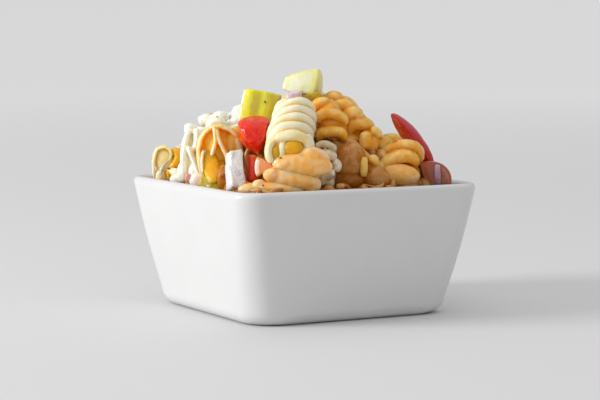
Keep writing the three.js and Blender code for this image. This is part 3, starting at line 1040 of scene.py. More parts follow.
CURLS = [
    # The curl at the left corner: a thin pale edge wound round a deep hollow, and a bright band beside it.
    Curl(O, [
        Lump((-36.0, 11.4, 40.5), (2.2, 2.4, 4.9)),
        Roll([(-42.7, 9, 36.0), (-42.8, 8, 41.2), (-42.1, 8, 44.4), (-40.6, 8, 45.5), (-38.9, 8, 45.5),
              (-37.7, 8, 44.1), (-38.0, 8, 42.3), (-39.5, 8, 40.9), (-40.6, 8, 39.1), (-40.7, 8.4, 36)],
              0.62, 2.0, 9.0),
        Roll([(-36.3, 9.6, 45.9), (-34.6, 9.2, 44.3), (-34.6, 9.0, 41.7), (-35.6, 9.0, 39.7),
              (-35.4, 9.6, 36)], 0.5, 2.2, 9.0),
    ], 0.22, 2, 0.16),
    Curl(P, [
        Lump((-39.6, 8.8, 41.6), (2.9, 1.9, 3.8)), Lump((-40.8, 8.8, 37.0), (1.7, 1.6, 3.0)),
    ], 0.22, 2, 0.5),
    Curl(A, [
        Roll([(-37.4, 8.6, 45.0), (-36.1, 8.4, 44.0), (-35.7, 8.2, 42.4), (-36.8, 8.0, 40.4),
              (-38.1, 8.0, 38.4), (-37.5, 8.0, 35.6)], 1.35, 1.2),
        Roll([(-37.8, 8.0, 36.6), (-35.8, 8.0, 36.0)], 0.9, 1.0),
    ], 0.22, 2, 0.5),
    # The pale upright one beside it, with white lumps and a band on top.
    Curl(V, [
        Lump((-31.4, -0.5, 43.0), (2.2, 3.0, 8.2)),
        Roll([(-32.6, -1.6, 50.8), (-31.6, -1.6, 51.6), (-30.4, -1.6, 50.6)], 1.7, 1.4),
        Roll([(-31.6, -2.4, 51.6), (-32.8, -2.6, 48.2), (-33.4, -2.6, 44.7), (-33.5, -2.4, 41),
              (-33.4, -2, 36.0)], 1.05, 2.0),
        Roll([(-32.1, -4.4, 46.8), (-31.0, -4.8, 43.8), (-29.6, -4.8, 40.4), (-28.7, -4.6, 36.0)], 0.8,
              2.4, 8.0),
        Roll([(-29.8, -3, 51.7), (-29.6, -3.6, 48.3), (-30.5, -3.8, 44.9)], 1.0, 1.8),
        Lump((-34.1, -1.6, 39.0), (1.3, 2.0, 3.0)),
        Lump((-30.6, -4.4, 38.6), (1.7, 2.0, 3.6), 10),
        Roll([(-31.8, 0, 50.2), (-31.5, -0.4, 51.8)], 1.9, 1.2),
        Roll([(-28.8, 0, 53.0), (-27.4, -0.4, 53.9)], 1.8, 1.2),
        Roll([(-26.2, 0, 52.8), (-24.6, -0.5, 54.0), (-22.6, -0.5, 54.8), (-21.2, 0, 53.8)], 1.9, 1.4),
        Roll([(-26.8, -4, 51.8), (-24.2, -4.5, 53.6), (-21.5, -4, 52.8)], 1.4, 2.0),
        Lump((-26.8, -0.8, 53.8), (2.2, 1.7, 2.0)),
        Lump((-29.0, -8.4, 37.0), (2.6, 1.9, 2.4)), Lump((-35.4, 1.6, 36.6), (2.4, 1.9, 2.0)),
    ], 0.26, 2, 0.22),
    # The upright one in front of it: an arched edge and thin fins over bright hollows.
    Curl(O, [
        Lump((-23.4, -12.6, 45.0), (4.9, 4.2, 8.6)),
        Lump((-19.4, -12.4, 47.2), (3.0, 4.0, 5.8), 12),
        Roll([(-27.1, -14.6, 35.8), (-28.2, -15.2, 42), (-28.6, -15.4, 46.8), (-27.5, -15.4, 50.4),
              (-25.6, -15.4, 52.3), (-23.4, -15.4, 52.9), (-21.2, -15.4, 52.5), (-19.2, -15, 51.4),
              (-17.4, -14.6, 48.9)], 0.72, 2.2, 9.0),
        Roll([(-24.2, -16.4, 52.6), (-23.9, -17.2, 49.6), (-24.2, -17.4, 47.1), (-25.0, -17.2, 44.7)],
              0.62, 2.0, 9.0),
        Roll([(-23.4, -16.4, 52.3), (-22.9, -17.2, 49.4), (-21.8, -17.4, 47.1), (-20.7, -17.4, 44.6),
              (-20.4, -17, 41.8)], 0.68, 2.0, 9.0),
        Roll([(-26.7, -16, 46.3), (-27.6, -15.8, 42.9), (-26.9, -15.4, 36.5)], 0.5, 2.0, 9.0),
        Roll([(-18.4, -14.8, 50), (-17.4, -15.2, 46.6), (-18.2, -15, 42.8)], 1.2, 1.2),
    ], 0.22, 2, 0.16),
    Curl(A, [
        Roll([(-25.4, -14.8, 46.8), (-25.2, -17.4, 43.4), (-24.6, -20.6, 40.4), (-23.6, -23.0, 37.6)], 2.2,
              0.4, 6.0),
        Roll([(-22.8, -14.4, 46.0), (-22.6, -16.4, 42.6), (-22.6, -19.4, 39.6)], 1.6, 0.4, 6.0),
    ], 0.26, 5, 0.8),
    Curl(O, [
        Roll([(-27.2, -16.4, 46.4), (-27.6, -18.2, 43.2), (-27.2, -20.0, 40.2)], 0.45, 2.0, 6.0),
    ], 0.22, 2, 0.16),
    # A dark lump below it in brown pasta, whose darkness is painted shade.
    Curl(B, [
        Lump((-21.2, -22.4, 38.8), (2.2, 2.0, 4.0)),
        Roll([(-22.8, -23.6, 39.8), (-19.8, -23.6, 41.0)], 1.1, 1.0),
    ], 0.26, 3, 0.8),
    # The open lower end of the stacked corkscrew: a rim round its hollow and a thick edge on its left.
    Curl(P, [
        Roll([(-7.7, -34.0, 43.9), (-8.6, -34.2, 45.6), (-8.8, -34.0, 47.6), (-8.1, -33.6, 49.6),
              (-6.4, -33.4, 51.0)], 1.2, 1.4),
        Roll([(-4.9, -34.0, 44.4), (-5.2, -34.2, 47.0), (-4.8, -33.9, 50.2)], 1.15, 1.0, 6.0),
        Roll([(-7.8, -33.0, 49.4), (-5.6, -33.9, 51.0), (-2.6, -34.3, 51.4), (0.4, -33.6, 50.8),
              (2.2, -32.4, 49.0), (2.6, -31.6, 46.6)], 1.45, 1.2, 4.0),
        Lump((1.9, -32.2, 48.0), (1.9, 2.4, 3.8)),
    ], 0.24, 7, 0.25),
    Curl(A, [Lump((-2.2, -34.5, 48.0), (2.8, 1.1, 2.3))], 0.3, 2, 1.0),
    Curl(A, [Lump((-6.7, -34.3, 46.6), (1.6, 1.0, 2.2))], 0.3, 2, 1.0),
    # The broad folds at the front corner: long lobes that thin out towards their edges.
    Curl(C, [
        Lump((-1.0, -31.0, 42.0), (6.6, 4.0, 5.4)),
        Lump((3.2, -33.6, 45.4), (4.9, 2.4, 3.0), 16),
        Lump((2.5, -33.2, 46.6), (2.0, 1.8, 2.2)),
        Lump((0.3, -34.6, 43.5), (8.3, 2.5, 3.2), 4),
        Lump((-4.2, -35.6, 43.8), (2.8, 1.4, 1.5), -10),
    ], 0.26, 4, 0.5),
    Curl(C, [
        Lump((-2.6, -34.2, 39.9), (7.9, 2.7, 3.0), 10),
        Lump((-7.9, -35.0, 40.9), (2.5, 1.9, 1.9), -8),
        Lump((2.2, -33.8, 38.6), (3.4, 2.0, 2.6), 20),
    ], 0.26, 4, 0.5),
    Curl(C, [
        Lump((-6.4, -34.2, 37.2), (7.4, 2.8, 1.9), 4),
        Lump((-11.4, -34.4, 38.1), (2.1, 1.7, 1.5), -14),
    ], 0.26, 4, 0.5),
    Curl(C, [
        Lump((-13.6, -33.4, 37.0), (3.6, 2.0, 1.6), -4), Lump((-9.0, -35.2, 36.2), (3.6, 1.8, 1.2), 4),
    ], 0.26, 3, 0.5),
    # The two tan ones beside the stacked corkscrew: long rounded edges over deep orange grooves.
    Curl(T, [
        Lump((7.6, -10.4, 55.4), (4.2, 4.8, 5.0)),
        Lump((8.6, -12.4, 52.4), (4.2, 3.6, 3.8)),
        Lump((8.8, -11.4, 48.8), (3.4, 3.6, 3.0)),
        Roll([(3.3, -10.8, 55.6), (3.6, -11.6, 57.8), (5.1, -12.0, 59.3), (7.9, -11.4, 59.7)], 1.6, 1.5),
        Roll([(4.5, -13.4, 53.8), (5.0, -14.4, 55.5), (6.9, -14.9, 56.4), (9.4, -14.8, 56.2),
              (11.8, -14.2, 55.1), (12.6, -13.2, 53.5)], 1.5, 1.7, 3.4),
        Roll([(4.7, -14.4, 49.4), (5.4, -15.8, 50.9), (8.6, -16.5, 51.6), (11.2, -16.1, 51.1),
              (12.4, -14.8, 49.2)], 1.65, 1.6, 3.4),
    ], 0.26, 3, 0.26),
    Curl(T, [
        Lump((11.6, -5.0, 56.0), (5.0, 4.4, 5.0)),
        Lump((14.6, -7.0, 52.4), (5.0, 4.0, 4.6)),
        Lump((13.6, -9.4, 47.8), (3.8, 3.6, 3.2)),
        Roll([(7.2, -5, 59.6), (9.1, -5.4, 60.8), (11.4, -5, 59.9)], 1.7, 1.6),
        Roll([(8.6, -8.2, 57.0), (10.4, -8.8, 58.2), (12.3, -9.0, 58.5), (14.3, -8.4, 57.7)], 1.75, 1.5),
        Roll([(12.0, -9.2, 54.8), (13.5, -10.0, 56.2), (15.2, -9.8, 56.3), (16.4, -9, 54.6)], 2.0, 1.4),
        Roll([(13.1, -9.6, 50.6), (14.3, -10.2, 52.9), (16.4, -10.4, 53.4), (18.7, -9.4, 52.9),
              (19.6, -8.4, 51.0)], 1.9, 1.4),
    ], 0.26, 3, 0.26),
    # The smooth dome below them and a lump beside it, in brown pasta whose darkness is painted shade, and the
    # short fingers beside it.
    Curl(B, [
        Lump((13.6, -18.8, 43.2), (4.5, 4.6, 5.5), 10),
        Lump((13.2, -17.5, 38.6), (5.2, 5.0, 4.4)),
    ], 0.3, 4, 0.6),
    Curl(B, [Lump((20.8, -19.4, 38.4), (3.8, 2.4, 4.0), -26)], 0.3, 3, 0.6),
    Curl(T, [
        Lump((18.9, -10.6, 48.0), (3.2, 3.6, 3.8)),
        Roll([(18.0, -13.6, 46.4), (17.9, -14.0, 49.0), (18.2, -13.6, 51.4)], 1.75, 1.2, 3.4),
        Roll([(19.2, -12.4, 51.6), (20.8, -12.0, 51.2), (21.9, -11.2, 49.8)], 1.4, 1.3),
        Lump((23.6, -9.2, 47.6), (3.2, 3.4, 2.6)),
    ], 0.24, 3, 0.24),
    Curl(T, [
        Roll([(17.3, -22.0, 39.2), (17.3, -22.4, 42.0), (17.4, -21.8, 44.8)], 1.05, 1.2, 6.0),
    ], 0.22, 2, 0.6),
    Curl(T, [
        Lump((19.4, -17.0, 39.6), (2.4, 3.0, 3.8)),
        Roll([(18.6, -18.6, 43.6), (20.0, -18.9, 44.0), (20.6, -18.2, 42.6), (20.6, -18.4, 40.4)], 1.35, 1.3),
    ], 0.24, 3, 0.3),
    # The fan of lobes at the right corner.
    Curl(T, [
        Lump((27.8, -9.2, 42.6), (5.8, 4.4, 5.6)),
        Lump((24.2, -11.6, 41.0), (3.8, 3.6, 6.0)),
        Roll([(21.9, -9.8, 42.6), (23.4, -11.0, 45.4), (26.0, -11.8, 47.0), (29.1, -12.0, 47.4),
              (31.9, -11.2, 46.8), (33.2, -10.2, 44.8), (33.0, -9.6, 41.6)], 1.75, 1.5, 4.0),
        Roll([(21.6, -12.8, 37.6), (22.2, -14.0, 40.6), (24.2, -14.8, 43.0), (27.3, -15.2, 44.4),
              (30.6, -14.6, 44.1), (32.6, -13.2, 41.8)], 2.0, 1.5, 4.0),
        Lump((22.2, -15.8, 38.4), (4.4, 2.8, 3.8), -24),
        Roll([(21.0, -7.4, 46.0), (22.4, -8.4, 48.0), (25.3, -8.2, 48.9), (28, -7.2, 48.6)], 1.7, 1.6),
    ], 0.26, 3, 0.26),
    Curl(C, [Lump((27.3, -16.9, 39.4), (5.8, 2.8, 3.2), 4)], 0.26, 3, 0.8),
    # Small broken ends along the front rim, in brown pasta whose darkness is painted shade.
    Curl(B, [
        Roll([(9.6, -30.0, 37.1), (11.8, -29.6, 37.6)], 0.9, 1.2),
        Roll([(12.8, -28.8, 35.9), (14.2, -28.4, 35.6)], 0.7),
        Roll([(16.4, -27.4, 36.6), (18.4, -26.6, 36.3)], 0.9, 1.2),
        Roll([(23.4, -23.2, 36.0), (25.6, -21.8, 36.3)], 1.0),
    ], 0.26, 3, 0.3),
    # The pale one between the front folds and the dome.
    Curl(W, [
        Lump((6.8, -22, 45.6), (3.0, 3.0, 3.4)),
        Lump((7.4, -23.5, 40.6), (2.2, 3.0, 4.0)),
        Roll([(3.9, -24.0, 47.8), (6.0, -24.6, 48.6), (8.2, -24.4, 48.0), (9.5, -23.6, 46.8)], 1.0, 1.4),
        Roll([(5.0, -25.0, 46.0), (7.6, -25.4, 45.7), (9.5, -24.6, 44.6)], 1.3, 1.3),
        Roll([(9.0, -25.4, 44.2), (10.0, -25.6, 42.6), (9.2, -26, 41.0)], 1.25, 1.3),
        Roll([(5.5, -27.6, 37.4), (5.7, -28.2, 39.6), (7.3, -28, 40.8), (9.0, -27.4, 40.2)], 1.5, 1.2),
        Lump((7.0, -26, 38), (2.2, 2, 2.2)),
    ], 0.26, 2, 0.3),
]


@dataclass
class Core:
    """The middle of the heap, packed corkscrews that show only in the gaps, coloured darker than the loose
    pasta as painted shade of those gaps.
    """

    # Painted shade: darker pasta colours, and darker still below the sunk heights, standing for the shade in
    # the gaps.
    finish: PastaFinish = PastaFinish(
        "heap_middle", (0.76, 0.42, 0.1), (0.54, 0.22, 0.035), (0.22, 0.066, 0.006), sunk=(0.03, 0.041)
    )
    rings: Sequence[Triple] = (
        (29.6, 5.5, 24.0), (31.6, 6.0, 30.0), (32.0, 6.5, 34.0), (30.8, 8.0, 36.6), (28.4, 9.0, 40.3),
        (25.0, 10.0, 44.6), (20.0, 10.0, 49.2), (14.0, 9.0, 53.0), (7.0, 6.0, 55.6), (1.0, 0.9, 56.5),
    )
    corner_steps: int = 6
    voxel: float = 0.5
    patch: float = 10.5
    pitch: float = 3.9
    groove: float = 1.7
    dip_from: float = -22.0
    dip_level: float = 37.6
    dip_slope: float = 2.2
    bend: float = 1.2

    def build(self) -> Object:
        """Return the middle, raised ring by ring, with the grooves between packed corkscrews pressed in."""
        core = Bench.tower("heap_middle", self.rings, self.corner_steps)
        Bench.soften(core, self.voxel, 4)
        for v in core.data.vertices:
            v.co.z = min(v.co.z, self.ceiling(v.co))
        core.data.update()
        normals = [v.normal.copy() for v in core.data.vertices]
        for v, normal in zip(core.data.vertices, normals):
            v.co -= normal * self.groove * (1.0 - self.ridge(v.co))
        Bench.modify(core, "SMOOTH", factor=0.5, iterations=2)
        Bench.keep(core, "crest", Bench.ridges(core, 12, 0.3))
        # The deep measure steers painted shade in the gaps of the middle.
        Bench.keep(core, "deep", Bench.ridges(core, 30, 0.8))
        Bench.put(core, Matrix.Scale(MM, 4))
        Bench.dress(core, self.finish.material(), Slot.PASTA, "pasta_heap")
        return core

    def ceiling(self, place: Vector) -> float:
        """Return the height the middle keeps under at a place, low along the best side's edge."""
        return self.dip_level + self.dip_slope * max(0.0, set_back(place.x, place.y) - self.dip_from)

    def ridge(self, place: Vector) -> float:
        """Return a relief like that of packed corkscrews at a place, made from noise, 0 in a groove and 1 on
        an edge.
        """
        bent = place + self.bend * noise.noise_vector(place * 0.12)
        near, spots = noise.voronoi(bent / self.patch)
        heading = noise.noise_vector(Vector(spots[0]) * 5.3).normalized()
        edge = abs(math.sin(math.pi * bent.dot(heading) / self.pitch)) ** 0.55
        return edge * min(1.0, (near[1] - near[0]) * 5.0)


@dataclass
class Filling:
    """Corkscrews that lie as they fell over the back and sides of the heap."""

    count: int = 60
    seed: int = 7
    tries: int = 4000
    edge: float = 33.4
    front: float = 5.0
    kinds: Sequence[Kind] = (Kind.TAN, Kind.PLAIN, Kind.TAN, Kind.PEACH, Kind.WHITE, Kind.ORANGE)
    radii: tuple[float, float] = (4.0, 5.2)
    lengths: tuple[float, float] = (13.0, 18.0)
    pitches: tuple[float, float] = (11.0, 13.5)
    depth: float = 0.45
    sunk: float = 0.35
    scatter: float = 0.6
    apart: float = 7.0
    clearance: float = 5.5
    heap_half: float = 34.0
    heap_edge: float = 36.5
    heap_rise: float = 17.0
    heap_flare: float = 2.2
    peak: float = 62.0
    left_fall: float = 0.0095
    right_fall: float = 0.028
    right_least: float = 47.0
    back_slope: float = 0.11

    def surface(self, x: float, y: float) -> float:
        """Return the height of the heap over a place in the bowl's frame."""
        out = (abs(x / self.heap_half) ** 3 + abs(y / self.heap_half) ** 3) ** (1 / 3)
        return self.heap_edge + self.heap_rise * max(0.0, 1.0 - out**self.heap_flare)

    def skyline(self, x: float) -> float:
        """Return the height that the back keeps under at a place along the best side."""
        if x > 0:
            return max(self.right_least, self.peak - self.right_fall * x * x)
        return self.peak - self.left_fall * x * x

    def corkscrews(self) -> list[Corkscrew]:
        """Return the corkscrews thrown onto the heap that keep inside the bowl and off the vegetables."""
        rng = random.Random(self.seed)
        turn = Matrix.Rotation(-SALAD_TURN, 3, "Z")
        keep_off = [node_middle(chunk.node) / MM for chunk in CHUNKS]
        thrown: list[Corkscrew] = []
        for _ in range(self.tries):
            if len(thrown) == self.count:
                break
            radius = rng.uniform(*self.radii)
            length = rng.uniform(*self.lengths)
            edge = self.edge - radius
            middle = Vector((rng.uniform(-edge, edge), rng.uniform(-edge, edge), 0.0))
            heading = rng.uniform(0.0, 2 * math.pi)
            half = Vector((math.cos(heading), math.sin(heading), 0.0)) * length / 2
            ends = [middle - half, middle + half]
            if any(max(abs(p.x), abs(p.y)) > edge for p in ends):
                continue
            for p in ends:
                p.z = self.surface(p.x, p.y) - self.sunk * radius + rng.uniform(-self.scatter, self.scatter)
            start, end = (turn @ p for p in ends)
            if min(start.y, end.y) < self.front:
                continue
            if any(p.z + 0.9 * radius > self.skyline(p.x) + self.back_slope * p.y for p in (start, end)):
                continue
            middle = (ends[0] + ends[1]) / 2
            if any((middle - spot).length < radius + self.clearance for spot in keep_off):
                continue
            middle = (start + end) / 2
            if any((middle - Vector(o.start) / 2 - Vector(o.end) / 2).length < self.apart for o in thrown):
                continue
            kind = self.kinds[len(thrown) % len(self.kinds)]
            turns = length / rng.uniform(*self.pitches)
            roll = rng.uniform(0, 120)
            thrown.append(Corkscrew(tuple(start), tuple(end), radius, turns, roll, kind, self.depth))
        LOG.info("filling: %d corkscrews", len(thrown))
        return thrown


@dataclass
class Pasta:
    """All the loose pasta, joined into one piece for each kind."""

    pieces: Sequence[Union[Corkscrew, Curl]]

    def build(self) -> list[Object]:
        """Return one joined piece for each kind of pasta."""
        joined = []
        for kind in Kind:
            heap = Bench.join([piece.build() for piece in self.pieces if piece.kind is kind], kind.value)
            Bench.dress(heap, PASTA_FINISHES[kind].material(), Slot.PASTA, "pasta_heap")
            joined.append(heap)
        return joined


# ---- The vegetables, the cheese and the seasoning ----


@dataclass
class Chunk:
    """A piece of vegetable or cheese as large as a berry, which stands for one node of the frame."""

    node: str
    turn: Triple
    finish: FleshFinish
    slot: Slot
    voxel: float = 0.28
    rounds: int = 4
    uneven: float = 0.35
    swell: float = 0.0
    knobbly: float = 0.18

    # Scales of the wide and of the fine unevenness, for each millimetre.
    WIDE: ClassVar[float] = 0.16
    FINE: ClassVar[float] = 0.7
    # Depth of the skin, and the depth over which it fades, in millimetres.
    RIND: ClassVar[float] = 0.9
    FADE: ClassVar[float] = 0.6

    def blank(self) -> Object:
        """Return the chunk's plain shape, in millimetres."""
        raise NotImplementedError

    def skin(self, place: Vector) -> float:
        """Return how far a place lies on the skin, 0 to 1."""
        return 0.0

    def rind(self, over: float) -> float:
        """Return the same for a place that lies over the full shape's outside by a distance."""
        return clamp((over + self.RIND) / self.FADE)

    def build(self) -> Object:
        """Return the chunk, softened, kneaded and put where its node is."""
        chunk = self.blank()
        Bench.soften(chunk, self.voxel, self.rounds)
        Bench.keep(chunk, "skin", [self.skin(v.co) for v in chunk.data.vertices])
        if self.swell:
            low, high = self.box(chunk)
            Bench.put(chunk, Matrix.Translation(-(low + high) / 2))
            Bench.modify(chunk, "CAST", factor=self.swell, cast_type="SPHERE")
        seed = Vector(self.turn) * 0.11
        for v in chunk.data.vertices:
            wide = noise.noise_vector(seed + v.co * self.WIDE)
            fine = noise.noise_vector(seed + v.co * self.FINE)
            v.co += self.uneven * (wide + self.knobbly * fine)
        Bench.put(chunk, Matrix.Rotation(SALAD_TURN, 4, "Z") @ turned(self.turn))
        low, high = self.box(chunk)
        goal = Matrix.Translation(node_middle(self.node))
        Bench.put(chunk, goal @ Matrix.Scale(MM, 4) @ Matrix.Translation(-(low + high) / 2))
        chunk.name = chunk.data.name = f"{self.node}_detail"
        Bench.dress(chunk, self.finish.material(), self.slot, self.node)
        return chunk

    @staticmethod
    def box(thing: Object) -> tuple[Vector, Vector]:
        """Return the lowest and highest corners of a mesh."""
        places = [v.co for v in thing.data.vertices]
        low = Vector([min(p[axis] for p in places) for axis in range(3)])
        high = Vector([max(p[axis] for p in places) for axis in range(3)])
        return low, high


@dataclass
class Wedge(Chunk):
    """Part of a round slice or of a ring wall, spun from an upright face."""

    inner: float = 0.0
    outer: float = 8.0
    degrees: float = 90.0
    length: float = 9.0
    start_size: float = 1.0
    lying: bool = False
    groove: float = 0.0
    rind_end: float = 1.0

    RIND: ClassVar[float] = 1.6
    FADE: ClassVar[float] = 0.8
    # Place and width of the groove as shares of half the wedge, and degrees beside a cut that are no skin.
    GROOVE_SHIFT: ClassVar[float] = 0.12
    GROOVE_WIDTH: ClassVar[float] = 0.25
    CUT: ClassVar[float] = 7.0

    def blank(self) -> Object:
        """Spin a face clockwise round the slice's axis, then taper and lay it as asked."""
        Bench.clear()
        wide = self.outer - self.inner
        half = math.radians(self.degrees) / 2
        bpy.ops.mesh.primitive_plane_add(size=1.0)
        chunk = Bench.take("wedge")
        Bench.put(
            chunk,
            Matrix.Rotation(half, 4, "Z") @ Matrix.Translation(((self.inner + self.outer) / 2, 0.0, 0.0))
            @ Matrix.Rotation(math.radians(90), 4, "X") @ Matrix.Diagonal((wide, self.length, 1.0, 1.0)),
        )
        with Bench.editing(chunk):
            bpy.ops.mesh.select_all(action="SELECT")
            bpy.ops.mesh.spin(steps=14, angle=2 * half, center=(0.0, 0.0, 0.0), axis=(0.0, 0.0, 1.0))
        Bench.outward(chunk)
        for v in chunk.data.vertices:
            off = math.atan2(v.co.y, v.co.x) / half
            near = math.exp(-(((off + self.GROOVE_SHIFT) / self.GROOVE_WIDTH) ** 2))
            v.co.xy *= 1.0 - self.groove / self.outer * near
        if self.lying:
            quarter = Matrix.Rotation(math.radians(90), 4, "Z")
            Bench.put(chunk, quarter @ Matrix.Rotation(math.radians(90), 4, "X") @ quarter)
            for v in chunk.data.vertices:
                size = self.size(v.co)
                v.co.y, v.co.z = v.co.y * size, v.co.z * size
        return chunk

    def size(self, place: Vector) -> float:
        """Return the size of a lying wedge's section at a place, as a share of its full size."""
        return self.start_size + (1.0 - self.start_size) * (0.5 + place.x / self.length)

    def skin(self, place: Vector) -> float:
        """Return 1 on the round outer side."""
        end = 0.0
        if self.lying:
            end = clamp((0.5 + place.x / self.length - self.rind_end) / 0.4)
            reach = math.hypot(place.y, place.z) / max(0.1, self.size(place))
        else:
            reach = place.xy.length
            if abs(math.degrees(math.atan2(place.y, place.x))) > self.degrees / 2 - self.CUT:
                return 0.0
        return max(end, self.rind(reach - self.outer))


@dataclass
class BallWedge(Chunk):
    """The part of a ball between two cuts that meet on its axis."""

    radius: float = 9.0
    degrees: float = 70.0
    stretch: float = 0.8

    def blank(self) -> Object:
        """Cut a ball twice, or once for half of one."""
        Bench.clear()
        bpy.ops.mesh.primitive_uv_sphere_add(segments=40, ring_count=24, radius=self.radius)
        chunk = Bench.take("ball_wedge")
        Bench.put(chunk, Matrix.Diagonal((1.0, 1.0, self.stretch, 1.0)))
        half = math.radians(self.degrees) / 2
        sides = (1, -1) if self.degrees < 180.0 else (1,)
        with Bench.editing(chunk):
            for side in sides:
                bpy.ops.mesh.select_all(action="SELECT")
                normal = (-math.sin(half), side * math.cos(half), 0.0)
                bpy.ops.mesh.bisect(
                    plane_co=(0.0, 0.0, 0.0), plane_no=normal, use_fill=True, clear_outer=True
                )
        Bench.outward(chunk)
        return chunk

    def skin(self, place: Vector) -> float:
        """Return 1 on the ball's outside."""
        reach = Vector((place.x, place.y, place.z / self.stretch)).length
        return self.rind(reach - self.radius)


@dataclass
class Block(Chunk):
    """A hand-cut block, a little smaller on top."""

    width: float = 6.0
    depth: float = 6.0
    height: float = 8.0
    top: float = 0.9
    corner: float = 0.7

    RIND: ClassVar[float] = 1.0

    def blank(self) -> Object:
        """Taper a box and round its edges."""
        Bench.clear()
        bpy.ops.mesh.primitive_cube_add(size=1.0)
        chunk = Bench.take("block")
        Bench.put(chunk, Matrix.Diagonal((self.width, self.depth, self.height, 1.0)))
        with Bench.editing(chunk):
            Bench.pick(chunk, lambda p: p.z > 0)
            Bench.widen(self.top, self.height / 2)
            bpy.ops.mesh.select_all(action="SELECT")
            bpy.ops.mesh.bevel(offset=self.corner, segments=3, profile=0.5)
        return chunk

    def skin(self, place: Vector) -> float:
        """Return 1 on the side that was the skin, the outer face."""
        return self.rind(-place.x - self.width / 2)


CUCUMBER = FleshFinish("cucumber_flesh", (0.84, 0.86, 0.62), (0.8, 0.75, 0.2), (0.8, 0.78, 0.3), 0.6,
                       300.0, gloss=0.35)
PEPPER = FleshFinish("green_pepper", (0.52, 0.55, 0.3), (0.86, 0.8, 0.011), (0.75, 0.7, 0.2), 0.5, 380.0,
                     gloss=0.6)
PEPPER_DEEP = FleshFinish("deep_pepper", (0.46, 0.36, 0.03), (0.42, 0.32, 0.0), (0.4, 0.22, 0.01), 0.6,
                          380.0, gloss=0.3, shine=0.3)
TOMATO = FleshFinish("tomato_flesh", (0.8, 0.03, 0.003), (0.8, 0.018, 0.002), (0.96, 0.2, 0.02), 0.6,
                     200.0, roughness=0.12, gloss=0.5, shine=0.35, relief=0.0003)
TOMATO_DEEP = FleshFinish("deep_tomato", (0.78, 0.014, 0.008), (0.5, 0.008, 0.016), (0.96, 0.26, 0.06),
                          0.3, 260.0)
TOMATO_DARK = FleshFinish("dark_tomato", (0.5, 0.13, 0.06), (0.4, 0.09, 0.045), (0.6, 0.32, 0.18), 0.8,
                          170.0)
RED_DICE = FleshFinish("red_pepper_dice", (0.88, 0.045, 0.004), (0.6, 0.015, 0.004), (0.92, 0.24, 0.05),
                       0.35, 260.0, gloss=0.4)
VEINED = FleshFinish("veined_cheese", (0.98, 0.97, 0.97), (0.98, 0.97, 0.97), (0.54, 0.46, 0.64), 0.45,
                     520.0, (1.0, 1.0, 0.6), 0.5, 0.45, 0.15, 0.0006)
CARROT = FleshFinish("carrot_flesh", (0.98, 0.4, 0.17), (0.98, 0.88, 0.78), (0.98, 0.56, 0.32), 0.4, 300.0)
ONION = FleshFinish("onion_flesh", (0.72, 0.56, 0.68), (0.6, 0.34, 0.5), (0.86, 0.78, 0.84), 0.6, 500.0)
PURPLE = FleshFinish("purple_onion", (0.42, 0.25, 0.32), (0.36, 0.16, 0.22), (0.62, 0.48, 0.54), 0.6,
                     300.0)
# Deep golden flesh, partly its own colour and partly painted shade under the top cucumber.
GOLDEN = FleshFinish("shaded_golden_pepper", (0.6, 0.42, 0.012), (0.52, 0.36, 0.004), (0.75, 0.6, 0.1), 0.4,
                     300.0)
PINK = FleshFinish("pink_flesh", (0.86, 0.36, 0.34), (0.8, 0.16, 0.14), (0.95, 0.8, 0.78), 0.7, 500.0)
ORANGE_PEPPER = FleshFinish("orange_pepper", (0.86, 0.2, 0.004), (0.86, 0.24, 0.004), (0.9, 0.4, 0.05),
                            0.4, 300.0)
HERB = FleshFinish("dried_herb", (0.07, 0.09, 0.02), (0.07, 0.09, 0.02), (0.14, 0.12, 0.03), 0.6, 900.0,
                   softness=0.0)
PEPPERCORN = FleshFinish("ground_pepper", (0.03, 0.022, 0.018), (0.03, 0.02, 0.02), (0.2, 0.15, 0.1), 0.5,
                         1500.0, softness=0.0, roughness=0.6, gloss=0.0)

CHUNKS = [
    Wedge("cucumber_top", (-55, 22, -2), CUCUMBER, Slot.CUCUMBER, rounds=12, swell=0.24, outer=9.2,
          degrees=84, length=10.0, start_size=0.42, lying=True, rind_end=0.6),
    Wedge("pepper_green", (-8, 8, -80), PEPPER, Slot.GREEN_PEPPER, rounds=8, inner=3.6, outer=8.0,
          degrees=92, length=9.5, groove=0.9),
    BallWedge("tomato_chunk", (90, 0, 103), TOMATO, Slot.TOMATO, rounds=34, uneven=0.8, swell=0.6,
              knobbly=0.26, radius=11.6, degrees=52, stretch=0.52),
    Block("cheese_cube", (-14, -4, 14), VEINED, Slot.CHEESE, uneven=0.55, width=4.5, depth=5.4,
          height=10.5, top=0.8, corner=0.4),
    Block("pepper_red", (-10, 0, 10), RED_DICE, Slot.TOMATO, width=2.6, depth=5.0, height=7.4, corner=0.5),
    Wedge("carrot_dice", (90, 0, 180), CARROT, Slot.CARROT, outer=5.8, degrees=56, length=3.0),
    BallWedge("tomato_wedge", (0, -36, 22), TOMATO_DEEP, Slot.TOMATO, radius=3.5, degrees=180,
              stretch=2.9),
    BallWedge("tomato_dark", (0, -20, 40), TOMATO_DARK, Slot.TOMATO, rounds=10, swell=0.1, radius=7.4,
              degrees=110, stretch=0.8),
    Wedge("pepper_slice", (0, 10, -118), PEPPER_DEEP, Slot.GREEN_PEPPER, inner=6.4, outer=9.0, degrees=60,
          length=6.0),
    Wedge("cucumber_back", (50, 20, 60), CUCUMBER, Slot.CUCUMBER, outer=11.0, degrees=62, length=6.0),
    BallWedge("tomato_back", (0, -60, 110), TOMATO, Slot.TOMATO, radius=9.0, degrees=90, stretch=1.0),
    Block("cheese_back", (30, 20, 20), VEINED, Slot.CHEESE, width=6.5, depth=6.0, height=9.0),
    Wedge("pepper_back", (10, 20, 100), PEPPER, Slot.GREEN_PEPPER, inner=5.4, outer=9.0, degrees=90,
          length=9.0),
]


@dataclass(frozen=True)
class Sliver:
    """A small cut piece: its middle in the salad's frame, its sizes and its turns in degrees."""

    middle: Triple
    size: Triple
    turn: Triple


